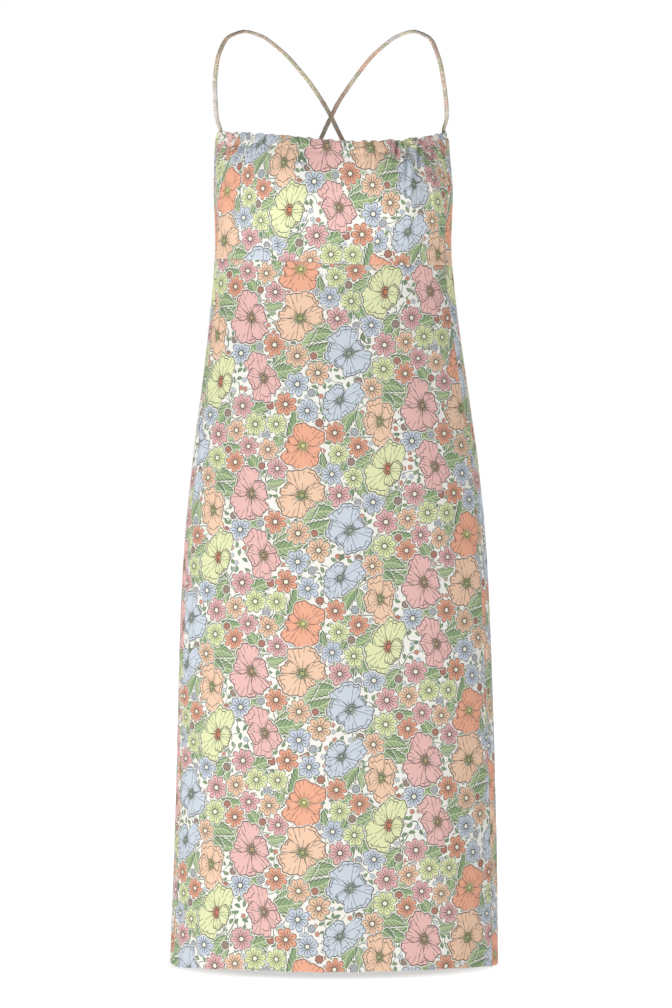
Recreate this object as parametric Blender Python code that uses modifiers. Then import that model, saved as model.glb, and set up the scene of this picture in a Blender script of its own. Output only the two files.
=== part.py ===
"""A slip dress, hollow and filled out as it is when worn, with nobody in it.

The cloth is cut as a front bodice gathered along its neckline, a low back bodice, a front skirt and a
back skirt, joined at an under-bust seam and two side seams, and it hangs from two narrow straps that
cross behind. Metres, +Z up, the front faces -Y. The origin lies midway between the shoulder tops.
"""
import math

import bmesh
import bpy
from mathutils import Vector

MM = 0.001

# Cloth and seams
WALL = 1.4 * MM
SEAM_GAP = 0.6 * MM  # at the inner face, which leaves 0.3 mm where the walls lean together
STRAP_GAP = 0.5 * MM  # between a strap's sewn end and the cloth it is sewn behind
SQUARENESS = 2.12  # 2 is an ellipse, more is squarer
HEM_HEIGHT = -1.164
HEM_SIDE_DIP = 6 * MM  # the hem is a little lower at the side seams
HEM_DIP_SPREAD = 17.0
HEM_DIP_ANGLES = (10.0, 170.0, 370.0)

# The cloth's outer face, one row for each height. Front and back are depths measured from the side
# plane, lean is how far the section's middle lies to the right, and the side seams are in degrees round
# from the widest point towards the front.
# Columns: height, half width, front, back, lean, right seam, left seam
SECTIONS = (
    (-0.120, 0.1462, 0.094, 0.087, -0.0012, 8.0, 8.0),
    (-0.160, 0.1487, 0.100, 0.091, -0.0008, 12.0, 8.5),
    (-0.200, 0.1506, 0.101, 0.094, 0.0004, 14.0, 8.5),
    (-0.235, 0.1495, 0.097, 0.095, 0.0005, 14.0, 8.5),
    (-0.268, 0.1487, 0.092, 0.093, 0.0004, 14.0, 8.5),
    (-0.300, 0.1504, 0.089, 0.091, 0.0006, 14.0, 9.0),
    (-0.360, 0.1563, 0.092, 0.091, 0.0010, 13.5, 9.5),
    (-0.440, 0.1664, 0.099, 0.098, 0.0022, 13.5, 10.0),
    (-0.490, 0.1734, 0.103, 0.105, 0.0024, 13.5, 10.0),
    (-0.540, 0.1797, 0.107, 0.111, 0.0029, 13.0, 10.0),
    (-0.640, 0.1896, 0.113, 0.119, 0.0029, 13.0, 10.0),
    (-0.740, 0.1950, 0.118, 0.122, 0.0028, 13.0, 10.5),
    (-0.900, 0.1998, 0.124, 0.127, 0.0036, 12.5, 10.5),
    (-1.040, 0.2035, 0.129, 0.132, 0.0031, 12.5, 10.5),
    (-1.164, 0.2066, 0.134, 0.137, 0.0013, 12.5, 10.5),
)

# Bust fullness that the darts and gathers give the front
BUST_X = 0.070
BUST_HEIGHT = -0.196
BUST_DEPTH = 13 * MM
BUST_SPREAD_X = 0.050
BUST_SPREAD_Z = 0.052

# Front neckline. Columns: degrees round from the right side, height of the top edge there
NECKLINE = (
    (0.0, -0.1245),
    (13.0, -0.1275),
    (35.0, -0.1405),
    (60.0, -0.1475),
    (76.0, -0.1482),
    (100.0, -0.1455),
    (122.0, -0.1410),
    (142.0, -0.1365),
    (158.0, -0.1320),
    (171.0, -0.1288),
    (185.0, -0.1270),
)

# Gathers along the neckline, zone by zone from the viewer's right
# Columns: first angle, last angle, number of gathers, depth, length
GATHERS = (
    (14.0, 44.0, 7, 2.6 * MM, 58 * MM),
    (44.0, 72.0, 5, 1.5 * MM, 34 * MM),
    (72.0, 110.0, 5, 0.7 * MM, 18 * MM),
    (110.0, 142.0, 5, 1.2 * MM, 26 * MM),
    (142.0, 169.0, 6, 2.2 * MM, 46 * MM),
)
CASING_DEPTH = 15 * MM  # the turned-over channel that the gathers sit on
CASING_GROOVE = 0.9 * MM
CASING_GROOVE_WIDTH = 2.5 * MM
SCALLOP = 1.6 * MM  # how much the puffs lift the top edge

# Under-bust seam: it dips at the middle of the front and lies a little lower on the right
SEAM_HEIGHT = -0.290
SEAM_DIP = 8 * MM
SEAM_TILT = 4 * MM

# Back edge: level with the neckline at the sides, it falls to where the straps are sewn on
BACK_SIDE_HEIGHT = -0.134
BACK_DROP = 0.102
BACK_FALL_ANGLE = 68.0  # degrees from a side seam to a strap's foot
BACK_CENTRE_DIP = 5 * MM

# Soft flutes of the skirt. Columns: degrees round, half width in degrees, depth at the hem
FLUTES = (
    (38.0, 9.0, 2.6 * MM),
    (66.0, 10.0, -1.8 * MM),
    (97.0, 12.0, 2.2 * MM),
    (124.0, 9.0, -2.0 * MM),
    (149.0, 9.0, 2.4 * MM),
    (208.0, 11.0, 3.2 * MM),
    (236.0, 10.0, -2.4 * MM),
    (268.0, 12.0, 3.4 * MM),
    (300.0, 10.0, -2.2 * MM),
    (330.0, 10.0, 3.0 * MM),
)
FLUTE_START = -0.46

# Straps: rouleau tubes a little flatter than round
STRAP_WIDTH = 5.2 * MM
STRAP_THICKNESS = 3.2 * MM
STRAP_SIDES = 8
STRAP_STEP = 9.5 * MM
STRAP_TUCK = 11 * MM  # sewn length behind the cloth
TORSO_AXIS_Y = 0.020
TORSO_AXIS_Z = -0.125
# Points of the straps' centre lines. Columns: x, y, z
LEFT_STRAP = (
    (-0.1448, -0.0300, -0.1120),
    (-0.1468, -0.0345, -0.0950),
    (-0.1471, -0.0420, -0.0700),
    (-0.1451, -0.0440, -0.0480),
    (-0.1421, -0.0420, -0.0330),
    (-0.1355, -0.0340, -0.0168),
    (-0.1283, -0.0250, -0.0080),
    (-0.1108, 0.0000, 0.0013),
    (-0.0912, 0.0220, -0.0011),
    (-0.0793, 0.0340, -0.0069),
    (-0.0612, 0.0500, -0.0199),
    (-0.0473, 0.0620, -0.0336),
    (-0.0288, 0.0745, -0.0549),
    (-0.0134, 0.0825, -0.0768),
    (-0.0026, 0.0868, -0.0954),
    (0.0066, 0.0888, -0.1141),
    (0.0350, 0.0865, -0.1720),
)
RIGHT_STRAP = (
    (0.1422, -0.0300, -0.1120),
    (0.1420, -0.0345, -0.0950),
    (0.1383, -0.0420, -0.0700),
    (0.1345, -0.0440, -0.0480),
    (0.1302, -0.0420, -0.0330),
    (0.1243, -0.0340, -0.0168),
    (0.1170, -0.0250, -0.0080),
    (0.1008, 0.0000, 0.0013),
    (0.0823, 0.0220, -0.0011),
    (0.0705, 0.0340, -0.0069),
    (0.0529, 0.0500, -0.0199),
    (0.0396, 0.0625, -0.0336),
    (0.0224, 0.0770, -0.0549),
    (0.0071, 0.0862, -0.0768),
    (-0.0026, 0.0912, -0.0954),
    (-0.0116, 0.0930, -0.1141),
    (-0.0370, 0.0882, -0.1720),
)
LEFT_FRONT_ANGLE = 168.0
RIGHT_FRONT_ANGLE = 11.5
LEFT_BACK_ANGLE = 306.0
RIGHT_BACK_ANGLE = 234.0

# Facets: how many columns and rows each panel is built with
SKIRT_COLUMNS = 34
SKIRT_ROWS = 15
BACK_BODICE_COLUMNS = 34
BACK_BODICE_ROWS = 6
BODICE_ROW_SHARES = (0.0, 0.05, 0.15, 0.3, 0.45, 0.6, 0.8, 1.0)  # below the casing
COLUMNS_PER_GATHER = 3

COLLECTION = "slip_dress"
CLOTH_COLOUR = (0.88, 0.74, 0.60, 1.0)
BACK_COLOUR = (0.80, 0.72, 0.62, 1.0)
SKIRT_COLOUR = (0.84, 0.80, 0.62, 1.0)
BACK_SKIRT_COLOUR = (0.74, 0.76, 0.66, 1.0)
STRAP_COLOUR = (0.55, 0.62, 0.45, 1.0)
CLOTH_ROUGHNESS = 0.85


def smooth_step(value):
    """0 below 0, 1 above 1, and a soft rise between."""
    value = min(1.0, max(0.0, value))
    return value * value * (3.0 - 2.0 * value)


def bell(distance, spread):
    """1 at no distance, falling off smoothly over the spread."""
    return math.exp(-((distance / spread) ** 2))


def read_table(rows, value):
    """A table's other columns at a value of its first column, on a smooth curve through its rows."""
    keys = [row[0] for row in rows]
    rising = keys[-1] > keys[0]
    if not rising:
        rows, keys = rows[::-1], keys[::-1]
    value = min(keys[-1], max(keys[0], value))
    low = max(i for i in range(len(keys) - 1) if keys[i] <= value)
    span = keys[low + 1] - keys[low]
    part = (value - keys[low]) / span
    before = rows[max(low - 1, 0)]
    after = rows[min(low + 2, len(rows) - 1)]
    found = []
    for column in range(1, len(rows[0])):
        start, end = rows[low][column], rows[low + 1][column]
        start_slope = (end - before[column]) / (keys[low + 1] - before[0]) * span
        end_slope = (after[column] - start) / (after[0] - keys[low]) * span
        found.append(
            start * (2 * part**3 - 3 * part**2 + 1)
            + start_slope * (part**3 - 2 * part**2 + part)
            + end * (3 * part**2 - 2 * part**3)
            + end_slope * (part**3 - part**2)
        )
    return found


def seam_angles(height):
    """The right and left side seams at a height, in degrees round from the right side."""
    right, left = read_table(SECTIONS, height)[4:6]
    return right, 180.0 - left


def neckline_height(angle):
    return read_table(NECKLINE, angle)[0]


def under_bust_height(angle):
    turn = math.radians(angle)
    return SEAM_HEIGHT - SEAM_DIP * max(0.0, math.sin(turn)) - SEAM_TILT * math.cos(turn)


def hem_height(angle):
    dips = [bell(angle - at, HEM_DIP_SPREAD) for at in HEM_DIP_ANGLES]
    return HEM_HEIGHT - HEM_SIDE_DIP * max(dips)


def back_edge_height(angle):
    """The back's top edge. Angles run from 180 at the left side to 360 at the right side."""
    away = min(angle - 172.0, 374.0 - angle)
    falling = BACK_DROP * smooth_step(away / BACK_FALL_ANGLE)
    dip = BACK_CENTRE_DIP * smooth_step((away - BACK_FALL_ANGLE) / 33.0)
    return BACK_SIDE_HEIGHT - falling - dip


def form_point(angle, height):
    """A point of the smooth worn form, which is the cloth's inner face, before gathers and flutes."""
    half_width, front, back, lean = read_table(SECTIONS, height)[0:4]
    turn = math.radians(angle)
    across, ahead = math.cos(turn), math.sin(turn)
    depth = front if ahead > 0 else back
    total = abs(across / half_width) ** SQUARENESS + abs(ahead / depth) ** SQUARENESS
    radius = total ** (-1.0 / SQUARENESS) - WALL
    x = lean + radius * across
    y = -radius * ahead
    if ahead > 0:
        cups = bell(x - BUST_X, BUST_SPREAD_X) + bell(x + BUST_X, BUST_SPREAD_X)
        y -= BUST_DEPTH * cups * bell(height - BUST_HEIGHT, BUST_SPREAD_Z) * smooth_step(ahead * 2)
    return Vector((x, y, height))


def outward(angle, height):
    """The level direction that points away from the body at a point of the form."""
    step = 0.5
    along = form_point(angle + step, height) - form_point(angle - step, height)
    return Vector((-along.y, along.x, 0.0)).normalized()


def gather_wave(angle):
    """How far a gather stands out here, from 0 in a valley to 1 on a puff, with its depth and length."""
    for start, end, count, depth, length in GATHERS:
        if start <= angle <= end:
            place = (angle - start) / (end - start) * count
            number = min(int(place), count - 1)
            uneven = 0.78 + 0.22 * math.sin(2.3 * number + start)
            puff = math.sin(math.pi * (place - number)) ** 0.8
            return puff, depth * uneven, length * uneven
    return 0.5, 0.0, 1.0


def bodice_relief(angle, height):
    """Gathers, and the groove under the turned-over casing."""
    below = neckline_height(angle) - height
    puff, depth, length = gather_wave(angle)
    relief = depth * (puff - 0.5) * math.exp(-max(0.0, below) / length)
    relief -= CASING_GROOVE * bell(below - CASING_DEPTH, CASING_GROOVE_WIDTH)
    return relief


def skirt_relief(angle, height):
    """Soft flutes that deepen towards the hem."""
    growth = smooth_step((FLUTE_START - height) / (FLUTE_START - HEM_HEIGHT))
    return growth * sum(depth * bell(angle - at, spread) for at, spread, depth in FLUTES)


def cloth_point(angle, height, relief):
    return form_point(angle, height) + outward(angle, height) * relief(angle, height)


def material(name, colour):
    made = bpy.data.materials.new(name)
    made.use_nodes = True
    shader = made.node_tree.nodes["Principled BSDF"]
    shader.inputs["Base Color"].default_value = colour
    shader.inputs["Roughness"].default_value = CLOTH_ROUGHNESS
    shader.inputs["Metallic"].default_value = 0.0
    made.diffuse_color = colour
    return made


def add_object(name, mesh, colour, smooth_angle=35.0):
    mesh.shade_smooth()
    mesh.set_sharp_from_angle(angle=math.radians(smooth_angle))
    made = bpy.data.objects.new(name, mesh)
    made.data.materials.append(material(name + "_cloth", colour))
    bpy.data.collections[COLLECTION].objects.link(made)
    return made


def cloth_panel(name, colour, shares, edges, rows, relief):
    """An open sheet of the form between two side edges, a top and a bottom, made a wall by Solidify.

    shares are places across the panel from 0 at its first side to 1 at its last, edges gives the two
    side angles at a height, and rows turns an angle into the panel's heights from top to bottom.
    """
    mesh = bpy.data.meshes.new(name)
    shape = bmesh.new()
    grid = []
    for share in shares:
        first, last = edges(SEAM_HEIGHT)
        column = []
        for height in rows(first + share * (last - first)):
            first, last = edges(height)
            angle = first + share * (last - first)
            column.append(shape.verts.new(cloth_point(angle, height, relief)))
        grid.append(column)
    for left, right in zip(grid, grid[1:]):
        for i in range(len(left) - 1):
            shape.faces.new((left[i], left[i + 1], right[i + 1], right[i]))
    shape.normal_update()
    shape.to_mesh(mesh)
    shape.free()
    made = add_object(name, mesh, colour)
    wall = made.modifiers.new("wall", "SOLIDIFY")
    wall.thickness = WALL
    wall.offset = -1.0
    wall.use_even_offset = False
    return made


def even_shares(count):
    return [i / count for i in range(count + 1)]


def half_gap(height):
    """Half a seam gap at a side seam, in degrees."""
    half_width = read_table(SECTIONS, height)[0]
    return math.degrees(SEAM_GAP / 2 / half_width)


def front_edges(height):
    right, left = seam_angles(height)
    return right + half_gap(height), left - half_gap(height)


def back_edges(height):
    right, left = seam_angles(height)
    return left + half_gap(height), 360.0 + right - half_gap(height)


def spread(top, bottom, shares):
    return [top + (bottom - top) * share for share in shares]


def front_bodice_rows(angle):
    """Heights down the bodice, close together at the casing. Puffs lift the top edge a little."""
    puff, depth, _ = gather_wave(angle)
    top = neckline_height(angle)
    lifted = top + SCALLOP * (puff - 0.5) * min(1.0, depth / (1.5 * MM))
    stitched = top - CASING_DEPTH
    bottom = under_bust_height(angle) + SEAM_GAP / 2
    return [lifted, top - 0.5 * CASING_DEPTH] + spread(stitched, bottom, BODICE_ROW_SHARES)


def back_bodice_rows(angle):
    top = back_edge_height(angle)
    bottom = under_bust_height(angle) + SEAM_GAP / 2
    return spread(top, bottom, even_shares(BACK_BODICE_ROWS))


def skirt_rows(angle):
    top = under_bust_height(angle) - SEAM_GAP / 2
    return spread(top, hem_height(angle), even_shares(SKIRT_ROWS))


def gather_shares():
    """Places across the front bodice, so many to each gather that every valley and puff has its own."""
    first, last = front_edges(SEAM_HEIGHT)
    angles = [first]
    for start, end, count, _, _ in GATHERS:
        for step in range(COLUMNS_PER_GATHER * count):
            angle = start + (end - start) * step / (COLUMNS_PER_GATHER * count)
            if first + 0.8 < angle < last - 0.8:
                angles.append(angle)
    angles.append(last)
    return [(angle - first) / (last - first) for angle in angles]


def smooth_route(points, step):
    """Points a step apart on a smooth curve through the route's own points."""
    dense = []
    for i in range(len(points) - 1):
        before = points[max(i - 1, 0)]
        start, end = points[i], points[i + 1]
        after = points[min(i + 2, len(points) - 1)]
        for k in range(12):
            t = k / 12
            dense.append(
                0.5
                * (
                    2 * start
                    + (end - before) * t
                    + (2 * before - 5 * start + 4 * end - after) * t**2
                    + (3 * start - before - 3 * end + after) * t**3
                )
            )
    dense.append(points[-1])
    total = sum((b - a).length for a, b in zip(dense, dense[1:]))
    count = max(2, round(total / step))
    route, travelled, target = [dense[0]], 0.0, 1
    for a, b in zip(dense, dense[1:]):
        length = (b - a).length
        while target < count and travelled + length >= target * total / count:
            route.append(a.lerp(b, (target * total / count - travelled) / length))
            target += 1
        travelled += length
    route.append(dense[-1])
    return route


def strap_foot(angle, top, relief):
    """A strap's sewn end inside the cloth: its end, and where it leaves behind the top edge."""
    inside = STRAP_GAP + STRAP_THICKNESS / 2
    deepest = top - STRAP_TUCK
    depth = max(0.0, -min(relief(angle + k, top - 3 * MM) for k in (-1.5, -0.75, 0, 0.75, 1.5)))
    foot = form_point(angle, deepest) - outward(angle, deepest) * (inside + depth)
    edge = form_point(angle, top + 1 * MM) - outward(angle, top) * (inside + depth)
    return foot, edge


def strap(name, front_angle, middle, back_angle):
    """A strap from behind the front's corner over the shoulder to behind the back's edge."""
    front_top = neckline_height(front_angle)
    back_top = back_edge_height(back_angle)
    front_foot, front_edge = strap_foot(front_angle, front_top, bodice_relief)
    back_foot, back_edge = strap_foot(back_angle, back_top, lambda angle, height: 0.0)
    points = [front_foot, front_edge] + [Vector(point) for point in middle] + [back_edge, back_foot]
    route = smooth_route(points, STRAP_STEP)
    front_way, back_way = outward(front_angle, front_top), outward(back_angle, back_top)
    mesh = bpy.data.meshes.new(name)
    shape = bmesh.new()
    rings = []
    for i, place in enumerate(route):
        along = (route[min(i + 1, len(route) - 1)] - route[max(i - 1, 0)]).normalized()
        out = Vector((0.0, place.y - TORSO_AXIS_Y, place.z - TORSO_AXIS_Z)).normalized()
        near_front = 1.0 - smooth_step((place.z - front_foot.z) / 0.05) if place.y < 0 else 0.0
        near_back = 1.0 - smooth_step((place.z - back_foot.z) / 0.05) if place.y > 0 else 0.0
        out = out.lerp(front_way, near_front).lerp(back_way, near_back)
        out = (out - along * out.dot(along)).normalized()
        side = along.cross(out)
        ring = []
        for k in range(STRAP_SIDES):
            turn = 2 * math.pi * (k + 0.5) / STRAP_SIDES
            offset = side * (math.cos(turn) * STRAP_WIDTH / 2) + out * (math.sin(turn) * STRAP_THICKNESS / 2)
            ring.append(shape.verts.new(place + offset))
        rings.append(ring)
    for a, b in zip(rings, rings[1:]):
        for k in range(STRAP_SIDES):
            following = (k + 1) % STRAP_SIDES
            shape.faces.new((a[k], a[following], b[following], b[k]))
    shape.faces.new(rings[0][::-1])
    shape.faces.new(rings[-1])
    bmesh.ops.recalc_face_normals(shape, faces=shape.faces[:])
    shape.to_mesh(mesh)
    shape.free()
    return add_object(name, mesh, STRAP_COLOUR, smooth_angle=60.0)


def clear_scene():
    for old in list(bpy.data.objects):
        bpy.data.objects.remove(old, do_unlink=True)
    bpy.context.scene.collection.children.link(bpy.data.collections.new(COLLECTION))


def build():
    clear_scene()
    gathered = gather_shares()
    across_back = even_shares(BACK_BODICE_COLUMNS)
    across_skirt = even_shares(SKIRT_COLUMNS)
    cloth_panel("front_bodice", CLOTH_COLOUR, gathered, front_edges, front_bodice_rows, bodice_relief)
    cloth_panel("back_bodice", BACK_COLOUR, across_back, back_edges, back_bodice_rows, skirt_relief)
    cloth_panel("front_skirt", SKIRT_COLOUR, across_skirt, front_edges, skirt_rows, skirt_relief)
    cloth_panel("back_skirt", BACK_SKIRT_COLOUR, across_skirt, back_edges, skirt_rows, skirt_relief)
    strap("strap_left", LEFT_FRONT_ANGLE, LEFT_STRAP, LEFT_BACK_ANGLE)
    strap("strap_right", RIGHT_FRONT_ANGLE, RIGHT_STRAP, RIGHT_BACK_ANGLE)


build()
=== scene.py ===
"""The slip dress's looks: printed cloth shells on the solids, straps, sewing, floor, light and camera."""
import math

import bpy
import numpy as np
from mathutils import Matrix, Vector


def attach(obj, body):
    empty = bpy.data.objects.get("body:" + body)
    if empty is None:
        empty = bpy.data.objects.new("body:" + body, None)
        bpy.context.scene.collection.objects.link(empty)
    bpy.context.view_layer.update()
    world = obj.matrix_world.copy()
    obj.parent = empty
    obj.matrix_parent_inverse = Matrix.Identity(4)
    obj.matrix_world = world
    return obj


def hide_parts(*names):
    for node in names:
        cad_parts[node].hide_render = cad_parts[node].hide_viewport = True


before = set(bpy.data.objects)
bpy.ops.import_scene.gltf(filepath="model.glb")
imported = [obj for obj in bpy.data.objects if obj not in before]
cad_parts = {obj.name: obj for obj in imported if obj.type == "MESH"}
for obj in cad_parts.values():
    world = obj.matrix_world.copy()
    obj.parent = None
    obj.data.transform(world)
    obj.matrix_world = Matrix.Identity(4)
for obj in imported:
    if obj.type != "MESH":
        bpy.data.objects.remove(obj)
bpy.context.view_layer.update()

MM = 0.001
BODY = "root"

# Camera: level, at the height of the picture's middle, far enough for a studio lens
CAMERA_DISTANCE = 4.0
CAMERA_X = 0.0038
CAMERA_Z = -0.594
FRAME_HEIGHT = 1.270  # metres of the dress's side plane that the picture's height takes in

# The worn form, as the solids have it
SQUARENESS = 2.12
HEM_HEIGHT = -1.164
HEM_SIDE_DIP = 6 * MM
HEM_DIP_SPREAD = 17.0
HEM_DIP_ANGLES = (10.0, 170.0, 370.0)
# Columns: height, half width, front, back, lean, right seam, left seam
SECTIONS = (
    (-0.120, 0.1462, 0.094, 0.087, -0.0012, 8.0, 8.0),
    (-0.160, 0.1487, 0.100, 0.091, -0.0008, 12.0, 8.5),
    (-0.200, 0.1506, 0.101, 0.094, 0.0004, 14.0, 8.5),
    (-0.235, 0.1495, 0.097, 0.095, 0.0005, 14.0, 8.5),
    (-0.268, 0.1487, 0.092, 0.093, 0.0004, 14.0, 8.5),
    (-0.300, 0.1504, 0.089, 0.091, 0.0006, 14.0, 9.0),
    (-0.360, 0.1563, 0.092, 0.091, 0.0010, 13.5, 9.5),
    (-0.440, 0.1664, 0.099, 0.098, 0.0022, 13.5, 10.0),
    (-0.490, 0.1734, 0.103, 0.105, 0.0024, 13.5, 10.0),
    (-0.540, 0.1797, 0.107, 0.111, 0.0029, 13.0, 10.0),
    (-0.640, 0.1896, 0.113, 0.119, 0.0029, 13.0, 10.0),
    (-0.740, 0.1950, 0.118, 0.122, 0.0028, 13.0, 10.5),
    (-0.900, 0.1998, 0.124, 0.127, 0.0036, 12.5, 10.5),
    (-1.040, 0.2035, 0.129, 0.132, 0.0031, 12.5, 10.5),
    (-1.164, 0.2066, 0.134, 0.137, 0.0013, 12.5, 10.5),
)
BUST_X = 0.070
BUST_HEIGHT = -0.196
BUST_DEPTH = 13 * MM
BUST_SPREAD_X = 0.050
BUST_SPREAD_Z = 0.052
# Columns: angle in degrees, height
NECKLINE = (
    (0.0, -0.1245),
    (13.0, -0.1275),
    (35.0, -0.1405),
    (60.0, -0.1475),
    (76.0, -0.1482),
    (100.0, -0.1455),
    (122.0, -0.1410),
    (142.0, -0.1365),
    (158.0, -0.1320),
    (171.0, -0.1288),
    (185.0, -0.1270),
)
# Columns: first and last angle, count, depth, length
GATHERS = (
    (14.0, 44.0, 7, 2.6 * MM, 58 * MM),
    (44.0, 72.0, 5, 1.5 * MM, 34 * MM),
    (72.0, 110.0, 5, 0.7 * MM, 18 * MM),
    (110.0, 142.0, 5, 1.2 * MM, 26 * MM),
    (142.0, 169.0, 6, 2.2 * MM, 46 * MM),
)
CASING_DEPTH = 15 * MM
CASING_GROOVE = 0.9 * MM
CASING_GROOVE_WIDTH = 2.5 * MM
CASING_PUFF = 0.5 * MM
FINE_GATHER = 0.35 * MM
FINE_GATHER_LENGTH = 16 * MM
EDGE_SCALLOP = 2.2 * MM
NOTCH_X = 0.0785  # a fold at the right pulls the top edge down here
NOTCH_DEPTH = 4.0 * MM
NOTCH_WIDTH = 2.6 * MM
GATHER_SHARPNESS = 2.0  # the cloth's gathers against the solid's smoother ones
GATHER_WANDER = 0.9  # degrees that a gather strays to either side
GATHER_SLANT = 38.0  # degrees round for each metre down
STRAP_BUMP = 0.9 * MM  # the front stands out over a strap's sewn end
# Columns: angle, cloth gathered in for each unit of worn width
FULLNESS = (
    (0.0, 0.50),
    (30.0, 0.62),
    (55.0, 0.34),
    (90.0, 0.10),
    (125.0, 0.22),
    (152.0, 0.50),
    (185.0, 0.40),
)
FULLNESS_DEPTH = 42 * MM
SEAM_HEIGHT = -0.290
SEAM_DIP = 8 * MM
SEAM_TILT = 4 * MM
BACK_SIDE_HEIGHT = -0.134
BACK_DROP = 0.102
BACK_FALL_ANGLE = 68.0
BACK_CENTRE_DIP = 5 * MM
BACK_CENTRE_SPREAD = 33.0
BACK_EDGE_ANGLES = (172.0, 374.0)  # where its falling edge begins and ends
# Columns: angle, spread, depth
FLUTES = (
    (38.0, 9.0, 2.6 * MM),
    (66.0, 10.0, -1.8 * MM),
    (97.0, 12.0, 2.2 * MM),
    (124.0, 9.0, -2.0 * MM),
    (149.0, 9.0, 2.4 * MM),
    (208.0, 11.0, 3.2 * MM),
    (236.0, 10.0, -2.4 * MM),
    (268.0, 12.0, 3.4 * MM),
    (300.0, 10.0, -2.2 * MM),
    (330.0, 10.0, 3.0 * MM),
)
FLUTE_START = -0.46

# Cloth shells
CLOTH_LIGHTNESS = 0.855  # share of the print's light that the cloth gives back
CLOTH = 0.65 * MM
FOLD_RADIUS = 0.75 * MM  # of a turned edge
CASING_TURNING = 16.5 * MM
HEM_TURNING = 21 * MM
BACK_TURNING = 8 * MM
EDGE_GAP = 0.05 * MM  # each shell stops this far short of its seam
SEAM_ROLL = 0.35 * MM  # how far a sewn edge turns in
SEAM_ROLL_WIDTH = 1.5 * MM
PUCKER = 0.22 * MM
PUCKER_LENGTH = 11 * MM
PUCKER_REACH = 9 * MM

# Creases. Columns: x and z of the start, x and z of the end, half width, depth
BODICE_CREASES = (
    (0.0795, -0.142, 0.0770, -0.180, 1.9 * MM, 5.0 * MM),
    (0.0925, -0.150, 0.0880, -0.216, 2.4 * MM, 4.2 * MM),
    (0.1060, -0.143, 0.1060, -0.196, 2.0 * MM, 4.6 * MM),
    (0.1240, -0.140, 0.1215, -0.186, 2.0 * MM, 3.4 * MM),
    (0.1030, -0.170, 0.0985, -0.236, 3.6 * MM, 2.2 * MM),
    (0.1150, -0.196, 0.1000, -0.292, 7.5 * MM, 3.0 * MM),
    (0.0700, -0.149, 0.0640, -0.174, 1.9 * MM, 2.2 * MM),
    (0.0560, -0.150, 0.0530, -0.166, 1.8 * MM, 1.4 * MM),
    (-0.1205, -0.136, -0.1235, -0.200, 2.2 * MM, 4.0 * MM),
    (-0.1120, -0.137, -0.1100, -0.176, 1.9 * MM, 3.2 * MM),
    (-0.1340, -0.132, -0.1345, -0.184, 1.9 * MM, 2.6 * MM),
    (-0.0980, -0.140, -0.1010, -0.182, 2.0 * MM, 2.6 * MM),
    (-0.0820, -0.142, -0.0835, -0.168, 1.9 * MM, 2.0 * MM),
    (-0.1060, -0.190, -0.0960, -0.270, 8.0 * MM, 2.2 * MM),
)
# Darts. Columns: x and z of the tip, x and z of the foot
DARTS = (
    (-0.0690, -0.204, -0.0690, -0.296),
    (0.0680, -0.196, 0.0455, -0.298),
)
DART_GROOVE = 0.75 * MM
DART_GROOVE_WIDTH = 1.3 * MM
DART_INTAKE = 10 * MM  # cloth taken in at a dart's foot
DART_DIMPLE = 0.8 * MM
DART_SHOULDER = 0.5 * MM
SKIRT_CREASES = (
    (-0.0950, -0.300, -0.1180, -0.470, 11.0 * MM, 1.3 * MM),
    (0.1020, -0.300, 0.1270, -0.520, 12.0 * MM, 1.6 * MM),
    (0.0330, -0.302, 0.0420, -0.400, 9.0 * MM, 0.8 * MM),
    (-0.0300, -0.302, -0.0360, -0.380, 8.0 * MM, 0.7 * MM),
    (0.1560, -0.560, 0.1620, -0.820, 12.0 * MM, 1.1 * MM),
    (-0.1480, -0.600, -0.1560, -0.900, 13.0 * MM, 1.1 * MM),
)
BACK_CREASES = (
    (0.0660, -0.240, 0.0480, -0.292, 5.0 * MM, 1.2 * MM),
    (-0.0660, -0.240, -0.0500, -0.292, 5.0 * MM, 1.1 * MM),
    (0.1180, -0.200, 0.0940, -0.285, 7.0 * MM, 1.1 * MM),
    (-0.1180, -0.200, -0.0960, -0.285, 7.0 * MM, 1.0 * MM),
)
BACK_SKIRT_CREASES = (
    (0.0700, -0.300, 0.0980, -0.480, 12.0 * MM, 1.6 * MM),
    (-0.0760, -0.300, -0.0900, -0.450, 11.0 * MM, 1.3 * MM),
    (0.0060, -0.302, 0.0010, -0.420, 11.0 * MM, 1.2 * MM),
    (0.1380, -0.620, 0.1500, -0.900, 13.0 * MM, 1.3 * MM),
    (-0.1400, -0.580, -0.1480, -0.860, 13.0 * MM, 1.2 * MM),
)
HEM_DEPTH = 20 * MM
HEM_GROOVE = 0.35 * MM
HEM_RIPPLE = 0.35 * MM
BACK_EDGE_DEPTH = 6 * MM
BACK_EDGE_GROOVE = 0.3 * MM

# Stitches of the casing, the hem and the back's turned edge
STITCH_PITCH = 3.0 * MM
STITCH_LENGTH = 2.2 * MM
STITCH_WIDTH = 0.40 * MM
STITCH_RISE = 0.16 * MM
STITCH_SUNK = 0.06 * MM
THREAD_COLOUR = (0.88, 0.86, 0.81)
# One stitch's triangles: its two ends, then the left, top and right of its two shoulders
STITCH_FACES = (
    (0, 3, 2), (0, 4, 3), (0, 2, 4), (2, 3, 6), (2, 6, 5), (3, 4, 7),
    (3, 7, 6), (4, 2, 5), (4, 5, 7), (1, 5, 6), (1, 6, 7), (1, 7, 5),
)

# Each shell's grid: columns, rows, and the rough width that its edges' rows are spaced by
FRONT_GRID = (400, 86, 0.36)
BACK_GRID = (190, 40, 0.42)
SKIRT_GRID = (110, 215, 0.46)

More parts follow.
